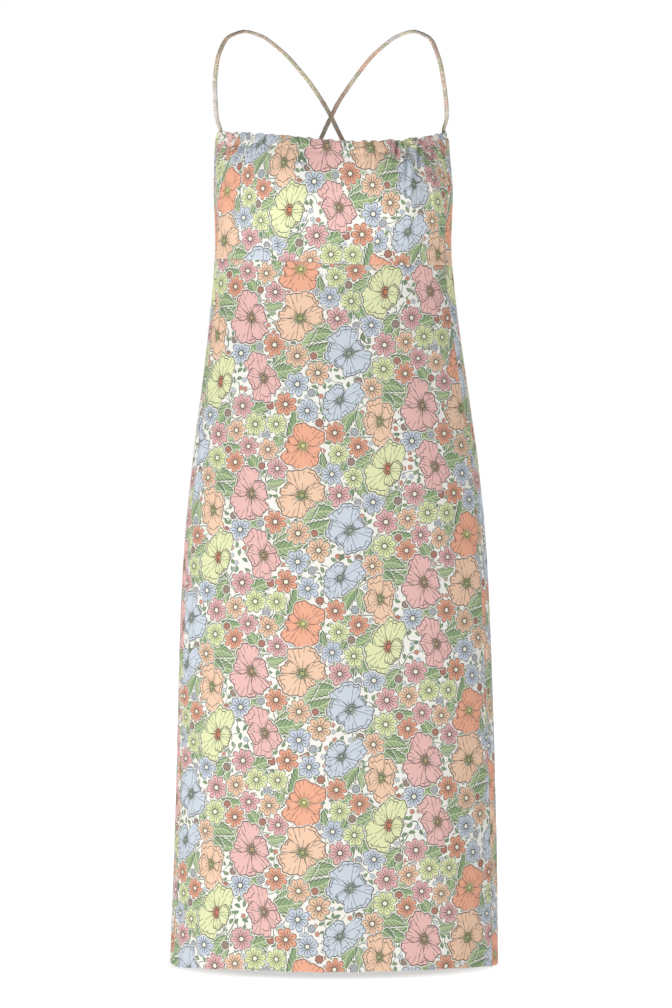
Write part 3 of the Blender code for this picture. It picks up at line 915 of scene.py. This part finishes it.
def motif_group(name, draw):
    """A node group that draws one motif over what lies under it."""
    tree = bpy.data.node_groups.new(name, "ShaderNodeTree")
    tree.interface.new_socket("Under", in_out="INPUT", socket_type="NodeSocketColor")
    tree.interface.new_socket("Place", in_out="INPUT", socket_type="NodeSocketVector")
    tree.interface.new_socket("Colour", in_out="OUTPUT", socket_type="NodeSocketColor")
    art = Drawing(tree)
    start, end = art.node("NodeGroupInput"), art.node("NodeGroupOutput")
    x, y, code = art.parts(start.outputs["Place"])
    number = art.do("FLOOR", code)
    art.feed(end.inputs[0], draw(art, start.outputs["Under"], x, y, number, code - number))
    return tree


def draw_petal(art, under, covered, far, angle, number, row, spin, colour, ink):
    """One fan-shaped petal with a ruffled rim and veins from its rim inwards and from its foot outwards.

    Where no petal lies yet it gets a thin outline of bare ground. Gives the drawing and what is covered now.
    """
    shapes = [(p[row][0] / 360 + 0.5, p[row][1] / 180, p[row][2], p[row][3]) for _, *p in BLOOMS]
    table = art.pick(number, shapes)
    axis, width, length = art.parts(table.outputs[0], "ShaderNodeSeparateColor")
    begins = table.outputs[1]
    spread = width * math.pi
    aside = art.do("WRAP", angle - (axis - 0.5) * (2 * math.pi), math.pi, -math.pi)
    t = aside / spread
    square = t * t
    ruffle = art.wave(t, 8.0, spin + 2.0 * row) * 0.050 + art.wave(t, 19.0, spin * 2.3) * 0.022
    reach = length * (ruffle + 1.0 - (square * 0.08 + square * square * square * 0.58))
    inner = reach - far
    beside = (1.0 - abs(t)) * spread * far
    body = (inner > 0.0) & (beside > 0.0) & (far > begins)
    halo = (inner > -PETAL_HALO) & (beside > -PETAL_HALO) & (1.0 - covered)
    rim = (inner < 0.050) | (beside < 0.042)
    rays = abs(art.wave(aside, 15.0, spin + float(row))) * far
    uneven = art.wave(aside, 5.3, spin * 3.0)
    outer = (rays < 0.17) & (far > reach * (uneven * 0.15 + 0.72)) & (inner > 0.035)
    foot = (abs(art.wave(aside, 7.0, spin)) * far < 0.078) & (far < reach * (0.52 - uneven * 0.18))
    fold_way = abs(far - reach * (art.wave(aside, 2.6, spin) * 0.07 + 0.80))
    fold = (fold_way < 0.017) & (art.wave(aside, 2.1, spin * 1.7) > 0.45)
    deep = art.do("MINIMUM", art.at_least(1.0 - far * 2.1, 0.0), 1.0)
    tinted = art.mix(deep * 0.20, colour, ink)
    veined = art.mix((outer | foot) * 0.84, tinted, ink)
    lined = art.mix((rim | fold) * 0.94, veined, ink)
    return art.mix(body, art.mix(halo, under, GROUND), lined), body | covered


def draw_stamens(art, under, far, angle, number, spin):
    """A bloom's heart in a ring of stamens."""
    threads = art.between(far, 0.08, 0.20) & (abs(art.wave(angle, 8.0, spin)) > 0.70)
    beads = art.between(far, 0.165, 0.235) & (abs(art.wave(angle, 7.0, spin * 2.0)) > 0.55)
    heart = art.colour_of(number, [BLOOM_HEARTS[colour] for colour, *_ in BLOOMS])
    dark = art.mix(0.55, heart, INK)
    drawn = art.mix((far < 0.20) * 0.35, under, heart)
    drawn = art.mix(threads, drawn, dark)
    drawn = art.mix(beads, drawn, dark)
    drawn = art.mix(far < 0.115, drawn, INK)
    return art.mix(far < 0.085, drawn, heart)


def draw_bloom(art, under, x, y, number, seed):
    """A poppy-like bloom of five petals round its stamens, open or seen from its side."""
    spin = seed * SEED_TURN
    far, angle = art.polar(x, y)
    colour = art.colour_of(number, [BLOOM_COLOURS[name] for name, *_ in BLOOMS])
    warm = art.colour_of(number, [WARM_INK if name == "coral" else INK for name, *_ in BLOOMS])
    ink = art.mix(0.88, colour, warm)
    drawn, covered = under, 0.0
    for row in range(4):
        drawn, covered = draw_petal(art, drawn, covered, far, angle, number, row, spin, colour, ink)
    drawn = draw_stamens(art, drawn, far, angle, number, spin)
    covered = covered | (far < 0.25)
    return draw_petal(art, drawn, covered, far, angle, number, 4, spin, colour, ink)[0]


def draw_daisy(art, under, x, y, number, seed):
    """A small flower with seven or eight narrow petals and a pale eye in a dark ring."""
    far, angle = art.polar(x, y)
    half_petals = 4.0 - (seed > 0.5) * 0.5
    lobes = abs(art.wave(angle, half_petals, seed * SEED_TURN))
    edge = lobes**0.50 * 0.48 + (art.wave(angle, 3.0, seed * 19.0) * 0.05 + 0.47)
    rim = far > edge - 0.090
    parting = (lobes * far < 0.145) & (far > 0.22)
    vein = (lobes > 0.974) & art.between(far, 0.26, 0.66)
    petal = art.colour_of(number, DAISY_COLOURS.values())
    ink = art.mix(0.80, petal, INK)
    shaded = art.mix((far < 0.44) * 0.16, petal, ink)
    drawn = art.mix((rim | parting | vein) * 0.90, shaded, ink)
    drawn = art.mix(art.between(far, 0.150, 0.240), drawn, INK)
    drawn = art.mix(far < 0.165, drawn, DAISY_EYE)
    return art.mix(far < edge, art.mix(far < edge + 0.060, under, GROUND), drawn)


def draw_berry(art, under, x, y, number, seed):
    """A small round berry, cross-hatched."""
    far, angle = art.polar(x, y)
    edge = art.wave(angle, 7.0, seed) * 0.07 + 0.90
    hatch = art.do("MINIMUM", abs(art.wave(x + y, 5.5)), abs(art.wave(x - y, 5.5)))
    lines = (hatch < 0.30) | (far > edge - 0.17)
    colour = art.colour_of(number, BERRY_COLOURS.values())
    around = art.mix(far < edge + 0.15, under, GROUND)
    return art.mix(far < edge, around, art.mix(lines * 0.85, colour, INK))


def draw_leaf(art, under, x, y, number, seed):
    """A pointed, toothed leaf with a pale midrib, side veins, a lighter half and a curved stalk."""
    along = art.at_least(x, 0.0)
    aside = y - art.wave(along, math.pi) * ((seed - 0.5) * 0.34)
    away = abs(aside)
    swell = art.at_least(art.wave(along**0.80, math.pi), 0.0)
    teeth = art.do("FRACT", along * 6.5)
    half = swell**0.80 * 0.235 * (teeth * 0.22 + 0.88)
    blade = (away < half) & art.between(x, 0.0, 1.0)
    stripes = art.do("FRACT", (x - away * 1.1) * 6.5)
    veins = (stripes < 0.30) & (away > 0.02)
    stalk_way = abs(y - x * x * (seed - 0.4))
    stalk = (stalk_way < 0.017) & art.between(x, -0.52, 0.02)
    blade_halo = (away < half + 0.026) & art.between(x, -0.02, 1.02)
    stalk_halo = (stalk_way < 0.036) & art.between(x, -0.53, 0.02)
    leaf = art.colour_of(number, LEAF_COLOURS.values())
    dark = art.mix(0.80, leaf, LEAF_INK)
    lit = art.mix((aside > 0.0) * 0.26, leaf, LEAF_LIGHT)
    drawn = art.mix(veins * 0.62, lit, dark)
    drawn = art.mix((away < 0.012) * 0.75, drawn, MIDRIB)
    drawn = art.mix((away > half - 0.042) * 0.92, drawn, dark)
    drawn = art.mix(blade, art.mix(blade_halo | stalk_halo, under, GROUND), drawn)
    return art.mix(stalk * (1.0 - blade), drawn, STALK)


def draw_ground(art, flat):
    """The cream ground with thin winding stems and, one to a cell, small leaves and buds."""
    stems = abs(art.noise(flat, STEM_SCALE, 1.0) - 0.5) < 0.012
    drawn = art.mix(stems, GROUND, STEM)
    inputs = {"Vector": flat, "Scale": 1 / SPRIG_SIZE, "Randomness": 0.62}
    cells = art.node("ShaderNodeTexVoronoi", inputs, voronoi_dimensions="2D")
    ends = {0: flat, 1: cells.outputs["Position"]}
    place = art.parts(art.node("ShaderNodeVectorMath", ends, operation="SUBTRACT").outputs[0])
    chances = art.parts(cells.outputs["Color"], "ShaderNodeSeparateColor")
    u, v = place[0] * (1 / SPRIG_SIZE), place[1] * (1 / SPRIG_SIZE)
    turn = chances[0] * (2 * math.pi)
    across, upward = art.do("COSINE", turn), art.do("SINE", turn)
    x, y = u * across + v * upward, v * across - u * upward
    away = abs(y - x * x * 0.5)
    half = art.at_least(art.do("COSINE", x * 3.3), 0.0) * 0.25
    leaf = (away < half) & (abs(x) < 0.48)
    line = (away > half - 0.055) | (away < 0.03)
    far, angle = art.polar(u, v)
    bud_edge = abs(art.wave(angle, 2.5, turn)) * 0.10 + 0.26
    bud_line = (far > bud_edge - 0.075) | (far < 0.08)
    is_bud = chances[1] < 0.38
    green = art.mix(chances[2], LEAF_COLOURS["green"], LEAF_COLOURS["deep"])
    tint = art.mix(chances[2] > 0.5, *BUD_COLOURS)
    drawn = art.mix(leaf * (1.0 - is_bud), drawn, art.mix(line * 0.8, green, SPRIG_INK))
    return art.mix((far < bud_edge) * is_bud, drawn, art.mix(bud_line * 0.8, tint, SPRIG_INK))


def print_group():
    """The whole print: ground, then leaves, berries, daisies and blooms, the lowest layer first."""
    tree = bpy.data.node_groups.new("floral_print", "ShaderNodeTree")
    tree.interface.new_socket("Colour", in_out="OUTPUT", socket_type="NodeSocketColor")
    art = Drawing(tree)
    colour = draw_ground(art, art.node("ShaderNodeUVMap", uv_map="flat").outputs[0])
    drawings = {"leaf": draw_leaf, "berry": draw_berry, "daisy": draw_daisy, "bloom": draw_bloom}
    for kind, draw in drawings.items():
        group = motif_group(kind + "_motif", draw)
        for k in reversed(range(LAYERS[kind])):
            place = art.node("ShaderNodeAttribute", attribute_type="GEOMETRY", attribute_name=f"{kind}_{k}")
            inputs = {"Under": colour, "Place": place.outputs["Vector"]}
            colour = art.node("ShaderNodeGroup", inputs, node_tree=group).outputs["Colour"]
    art.node("NodeGroupOutput", {0: colour})
    return tree


def new_material(name):
    made = bpy.data.materials.new(name)
    made.use_nodes = True
    return made, Drawing(made.node_tree), made.node_tree.nodes["Principled BSDF"]


def cloth_material(name, printed, paleness, tint):
    """Light matt viscose with the print: paleness is how far the tint shows through, as on its back."""
    made, art, shader = new_material(name)
    flat = art.node("ShaderNodeUVMap", uv_map="flat").outputs[0]
    drawn = art.node("ShaderNodeGroup", node_tree=printed).outputs[0]
    mottle = art.noise(flat, MOTTLE_SCALE, 3.0)
    tone = art.mix(mottle * 0.10, drawn, MOTTLE_COLOUR)
    worn = art.mix(paleness, tone, tint)
    art.feed(shader.inputs["Base Color"], art.mix(1.0 - CLOTH_LIGHTNESS, worn, (0.0, 0.0, 0.0)))
    shader.inputs["Roughness"].default_value = CLOTH_ROUGHNESS
    shader.inputs["Specular IOR Level"].default_value = CLOTH_SHINE
    u, v, _ = art.parts(flat)
    threads = 2 * math.pi / YARN_PITCH
    weave = art.wave(u, threads) * art.wave(v, threads)
    bump = {"Strength": 0.10, "Distance": WEAVE_DEPTH, "Height": weave * 0.5 + mottle}
    art.feed(shader.inputs["Normal"], art.node("ShaderNodeBump", bump).outputs[0])
    return made


def place_object(name, data):
    made = bpy.data.objects.new(name, data)
    bpy.context.scene.collection.objects.link(made)
    return made


def taken_in(places):
    """How far the print moves aside at each corner of each face, for the cloth that the darts take in."""
    moved = np.zeros(places.shape[:2])
    for dart in DARTS:
        middle = places.mean(axis=1)
        _, side = dart_place(middle[:, 0], middle[:, 2], dart)
        place, _ = dart_place(places[..., 0], places[..., 2], dart)
        outside = np.sign(dart[0]) * side > 0
        moved -= np.sign(dart[0]) * DART_INTAKE * np.clip(place, 0.0, 1.0) * outside[:, None]
    return moved


def cut_area(corners):
    """The flat area of a piece, added up over its faces."""
    first, second = corners[:, 2] - corners[:, 0], corners[:, 3] - corners[:, 1]
    return float(np.abs(first[:, 0] * second[:, 1] - first[:, 1] * second[:, 0]).sum() / 2)


def sewn_row(name, front, grid, line, relief, thread):
    """A row of stitches along a line of heights, each a short raised thread on the cloth."""
    shares = np.linspace(0.003, 0.997, 1200)
    first, last = side_angles(SEAM_HEIGHT, front)
    heights = line(first + shares * (last - first))
    first, last = side_angles(heights, front)
    angles = first + shares * (last - first)
    base, out = form_point(angles, heights), outward(angles, heights)
    raised = relief(angles, heights, base[..., 0], np.minimum(shares, 1 - shares) * grid[2])
    cloth = base + out * raised[:, None]
    travelled = distances(cloth)
    begins = np.arange(0.5 * MM, travelled[-1] - STITCH_LENGTH, STITCH_PITCH)
    start, end = sample(cloth, begins, travelled), sample(cloth, begins + STITCH_LENGTH, travelled)
    rise = sample(out, begins + STITCH_LENGTH / 2, travelled)
    side = unit(np.cross(end - start, rise)) * (STITCH_WIDTH / 2)
    points = [start - STITCH_SUNK * rise, end - STITCH_SUNK * rise]
    for share in (0.22, 0.78):
        middle = start + share * (end - start)
        points += [middle - side, middle + STITCH_RISE * rise, middle + side]
    points = np.stack(points, axis=1)
    faces = np.array(STITCH_FACES)[None] + (np.arange(len(points)) * points.shape[1])[:, None, None]
    made = place_object(name, make_mesh(name, points.reshape(-1, 3), faces.reshape(-1, 3)))
    made.data.materials.append(thread)
    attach(made, BODY)
    return made


def wall_of(made, node, thickness):
    wall = made.modifiers.new("wall", "SOLIDIFY")
    wall.thickness = thickness
    wall.offset = -1.0
    wall.material_offset = len(made.data.materials) - 1
    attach(made, BODY)
    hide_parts(node)


def shell(node, points, flat, materials, darts=False):
    """A panel's shell: its outer face on the given points, a thin wall inside it, and its print."""
    faces = grid_faces(*points.shape[:2])
    name = node + "_cloth"
    mesh = make_mesh(name, points.reshape(-1, 3), faces)
    corners = flat_corners(mesh, flat + np.array(PRINT_SHIFTS[node]))
    if darts:
        corners[..., 0] += taken_in(points.reshape(-1, 3)[faces])
    add_flat_map(mesh, corners)
    print_on(mesh, corners)
    for material in materials:
        mesh.materials.append(material)
    made = place_object(name, mesh)
    wall_of(made, node, CLOTH)
    cut_area(corners)


def sewn_in(own_relief):
    """A panel's own relief together with its edges, sewn in at the sides and the under-bust seam."""

    def relief(angle, height, x, from_side):
        from_seam = np.abs(height - under_bust_height(angle))
        return own_relief(angle, height, x) + seam_relief(from_side, from_seam, height, x)

    return relief


def front_bodice(materials, thread):
    def top(angle):
        puff, depth, _ = gather_wave(angle)
        edge = neckline_height(angle)
        uneven = 0.5 * MM * np.sin(angle * 0.83) + 0.4 * MM * np.sin(angle * 0.47 + 1.0)
        notch = NOTCH_DEPTH * bell(form_point(angle, edge)[..., 0] - NOTCH_X, NOTCH_WIDTH) * (angle < 90)
        return edge + EDGE_SCALLOP * (puff - 0.5) * np.minimum(1.0, depth / (1.5 * MM)) + uneven - notch

    def bottom(angle):
        return under_bust_height(angle) + EDGE_GAP

    def stitch_line(angle):
        return neckline_height(angle) - CASING_DEPTH

    relief = sewn_in(bodice_relief)
    points, flat = panel_points(True, FRONT_GRID, top, bottom, relief, turned_top=CASING_TURNING)
    angle = np.degrees(np.arctan2(-points[..., 1], points[..., 0]))
    extra = read_table(FULLNESS, angle)[0] * fading(neckline_height(90.0) - flat[..., 1], FULLNESS_DEPTH)
    steps = np.diff(flat[..., 0], axis=0)
    wider = np.concatenate([np.zeros((1, points.shape[1])), np.cumsum(steps * (1 + extra[1:]), axis=0)])
    flat[..., 0] = wider - wider[wider.shape[0] // 2]
    sewn = sewn_row("casing_stitches", True, FRONT_GRID, stitch_line, relief, thread)
    shell("front_bodice", points, flat, materials, darts=True)


def back_bodice(materials, thread):
    def own_relief(angle, height, x):
        stitched = BACK_EDGE_GROOVE * bell(stitch_line(angle) - height, 1.4 * MM)
        return crease_relief(x, height, BACK_CREASES) - stitched

    def bottom(angle):
        return under_bust_height(angle) + EDGE_GAP

    def stitch_line(angle):
        return back_edge_height(angle) - BACK_EDGE_DEPTH

    relief = sewn_in(own_relief)
    points, flat = panel_points(False, BACK_GRID, back_edge_height, bottom, relief, turned_top=BACK_TURNING)
    sewn = sewn_row("back_edge_stitches", False, BACK_GRID, stitch_line, relief, thread)
    shell("back_bodice", points, flat, materials)


def skirt(node, front, creases, materials, thread):
    def top(angle):
        return under_bust_height(angle) - EDGE_GAP

    def bottom(angle):
        return hem_height(angle) + 0.5 * MM * np.sin(angle * 0.37)

    def stitch_line(angle):
        return hem_height(angle) + HEM_DEPTH

    relief = sewn_in(lambda angle, height, x: skirt_relief(angle, height, x, creases))
    points, flat = panel_points(front, SKIRT_GRID, top, bottom, relief, turned_bottom=HEM_TURNING)
    sewn = sewn_row(node + "_hem_stitches", front, SKIRT_GRID, stitch_line, relief, thread)
    shell(node, points, flat, materials)


def smooth_route(points, step):
    """Points a step apart on a smooth curve through the route's own points."""
    dense = []
    for i in range(len(points) - 1):
        before, start = points[max(i - 1, 0)], points[i]
        end, after = points[i + 1], points[min(i + 2, len(points) - 1)]
        for t in np.arange(24) / 24:
            bend = (2 * before - 5 * start + 4 * end - after) * t**2
            twist = (3 * start - before - 3 * end + after) * t**3
            dense.append(0.5 * (2 * start + (end - before) * t + bend + twist))
    dense = np.array(dense + [points[-1]])
    travelled = distances(dense)
    places = np.linspace(0.0, travelled[-1], max(2, round(travelled[-1] / step)) + 1)
    return sample(dense, places, travelled), places


def strap_foot(angle, top, gathered):
    """A strap's sewn end inside the cloth, and where it comes out behind the top edge."""
    inside = SOLID_WALL + SOLID_GAP + STRAP_THICKNESS / 2
    depth = 0.0
    if gathered:
        puff, deep, _ = gather_wave(angle + np.linspace(-1.5, 1.5, 5))
        depth = max(0.0, float((deep * (0.5 - puff)).max()))
    foot = form_point(angle, top - STRAP_TUCK) - outward(angle, top - STRAP_TUCK) * (inside + depth)
    edge = form_point(angle, top + 1 * MM) - outward(angle, top) * (inside + depth)
    return foot, edge


def strap(node, front_angle, middle, back_angle, material):
    """A rouleau strap: a soft tube of the print, sewn in behind the front's corner and the back's edge."""
    name = node + "_tube"
    front_top, back_top = float(neckline_height(front_angle)), float(back_edge_height(back_angle))
    front_foot, front_edge = strap_foot(front_angle, front_top, True)
    back_foot, back_edge = strap_foot(back_angle, back_top, False)
    route, travelled = smooth_route([front_foot, front_edge, *middle, back_edge, back_foot], STRAP_STEP)
    along = unit(np.gradient(route, axis=0))
    out = route - np.array([0.0, TORSO_AXIS_Y, TORSO_AXIS_Z])
    out[:, 0] = 0.0
    out = unit(out)
    ends = ((-1, front_foot, front_angle, front_top), (1, back_foot, back_angle, back_top))
    for half, foot, angle, top in ends:
        near = 1 - smooth_step((route[:, 2] - foot[2]) / STRAP_EASE)
        near = np.where(route[:, 1] * half > 0, near, 0.0)[:, None]
        out = out * (1 - near) + outward(angle, top) * near
    out = unit(out - along * (out * along).sum(axis=1, keepdims=True))
    side = np.cross(along, out)
    turns = 2 * math.pi * (np.arange(STRAP_SIDES + 1)) / STRAP_SIDES
    ease = 1.0 + 0.035 * np.sin(travelled * 210) + 0.02 * np.sin(travelled * 530)
    wide = (np.cos(turns)[None, :] * STRAP_WIDTH / 2) * ease[:, None]
    thick = (np.sin(turns)[None, :] * STRAP_THICKNESS / 2) * (2 - ease)[:, None]
    ring = route[:, None, :] + side[:, None, :] * wide[..., None] + out[:, None, :] * thick[..., None]
    count = len(route)
    index = np.arange(count * STRAP_SIDES).reshape(count, STRAP_SIDES)
    following = np.roll(index, -1, axis=1)
    faces = np.stack([p.ravel() for p in (index[:-1], following[:-1], following[1:], index[1:])], axis=1)
    mesh = make_mesh(name, ring[:, :-1].reshape(-1, 3), faces)
    girth = math.pi * (STRAP_WIDTH + STRAP_THICKNESS) / 2
    widths = turns[None, :] / (2 * math.pi) * girth
    around = np.stack(np.broadcast_arrays(widths, travelled[:, None]), axis=-1)
    cut = around @ rotation(math.radians(STRAP_BIAS)) + np.array(PRINT_SHIFTS[node])
    parts = (cut[:-1, :-1], cut[:-1, 1:], cut[1:, 1:], cut[1:, :-1])
    corners = np.stack([part.reshape(-1, 2) for part in parts], axis=1)
    add_flat_map(mesh, corners)
    print_on(mesh, corners)
    mesh.materials.append(material)
    made = place_object(name, mesh)
    wall_of(made, node, STRAP_WALL)


def plain_material(name, colour, roughness, specular=0.2):
    made, art, shader = new_material(name)
    shader.inputs["Base Color"].default_value = linear(colour)
    shader.inputs["Roughness"].default_value = roughness
    shader.inputs["Specular IOR Level"].default_value = specular
    return made, art, shader


def make_stage():
    """A plain pale floor that glows evenly white like a light table, with a painted shadow under the dress
    where its glow is dimmed.
    """
    floor = HEM_HEIGHT - FLOOR_DROP
    sides = (-FLOOR_REACH, FLOOR_REACH)
    points = np.array([[x, y, floor] for x in sides for y in sides])
    made = place_object("studio_floor", make_mesh("studio_floor", points, np.array([[0, 2, 3, 1]])))
    white, art, shader = plain_material("studio_white_painted_shadow", (0.80, 0.80, 0.80), 1.0, specular=0.0)
    shader.inputs["Emission Color"].default_value = (1.0, 1.0, 1.0, 1.0)
    half_width, front = SECTIONS[-1][1:3]
    inputs = {0: art.node("ShaderNodeTexCoord").outputs["Object"], 1: (1 / half_width, 1 / front, 0.0)}
    spread = art.node("ShaderNodeVectorMath", inputs, operation="MULTIPLY").outputs[0]
    away = art.node("ShaderNodeVectorMath", {0: spread}, operation="LENGTH").outputs["Value"]
    # The glow dims towards and under the hem: a painted shadow beneath the dress.
    art.feed(shader.inputs["Emission Strength"], art.ease(away, *FLOOR_GLOW_AND_PAINTED_SHADOW))
    made.data.materials.append(white)


def area_light(name, place, aim, size, power):
    data = bpy.data.lights.new(name, "AREA")
    data.shape = "SQUARE"
    data.size = size
    data.energy = power
    made = place_object(name, data)
    made.location = place
    made.rotation_euler = (Vector(aim) - Vector(place)).to_track_quat("-Z", "Y").to_euler()


def light_the_studio():
    """White all round at the level of the eye, dimmer overhead, with a soft key from the left."""
    world = bpy.data.worlds.new("studio")
    bpy.context.scene.world = world
    world.use_nodes = True
    art = Drawing(world.node_tree)
    height = art.parts(art.node("ShaderNodeTexCoord").outputs["Generated"])[2]
    background = world.node_tree.nodes["Background"]
    background.inputs["Color"].default_value = (1.0, 1.0, 1.0, 1.0)
    art.feed(background.inputs["Strength"], art.ease(height, *WORLD_LIGHT))
    for light in LIGHTS:
        area_light(*light)
    bpy.context.scene.view_settings.view_transform = "Standard"


def make_camera():
    data = bpy.data.cameras.new("camera")
    data.sensor_width = SENSOR_WIDTH
    data.lens = SENSOR_WIDTH * CAMERA_DISTANCE / FRAME_HEIGHT
    made = place_object("camera", data)
    made.location = (CAMERA_X, -CAMERA_DISTANCE, CAMERA_Z)
    made.rotation_euler = (math.pi / 2, 0.0, 0.0)
    bpy.context.scene.camera = made


MOTIFS = lay_out_print()


def dress():
    printed = print_group()
    cloth = [
        cloth_material("printed_viscose", printed, WASH, GROUND),
        cloth_material("printed_viscose_back", printed, BACK_WASH, GROUND),
    ]
    # The straps' greyer tint is partly painted shade of the narrow tube.
    rolled = cloth_material("printed_viscose_rolled_painted_shade", printed, STRAP_WASH, STRAP_TINT_AND_PAINTED_SHADE)
    routes = np.array(STRAP_ROUTES)
    strap("strap_left", LEFT_FRONT_ANGLE, routes[:, (1, 2, 0)], LEFT_BACK_ANGLE, rolled)
    strap("strap_right", RIGHT_FRONT_ANGLE, routes[:, (3, 4, 0)], RIGHT_BACK_ANGLE, rolled)
    thread, _, _ = plain_material("cream_thread", THREAD_COLOUR, 0.6)
    front_bodice(cloth, thread)
    back_bodice(cloth, thread)
    skirt("front_skirt", True, SKIRT_CREASES, cloth, thread)
    skirt("back_skirt", False, BACK_SKIRT_CREASES, cloth, thread)


make_camera()
light_the_studio()
make_stage()
dress()
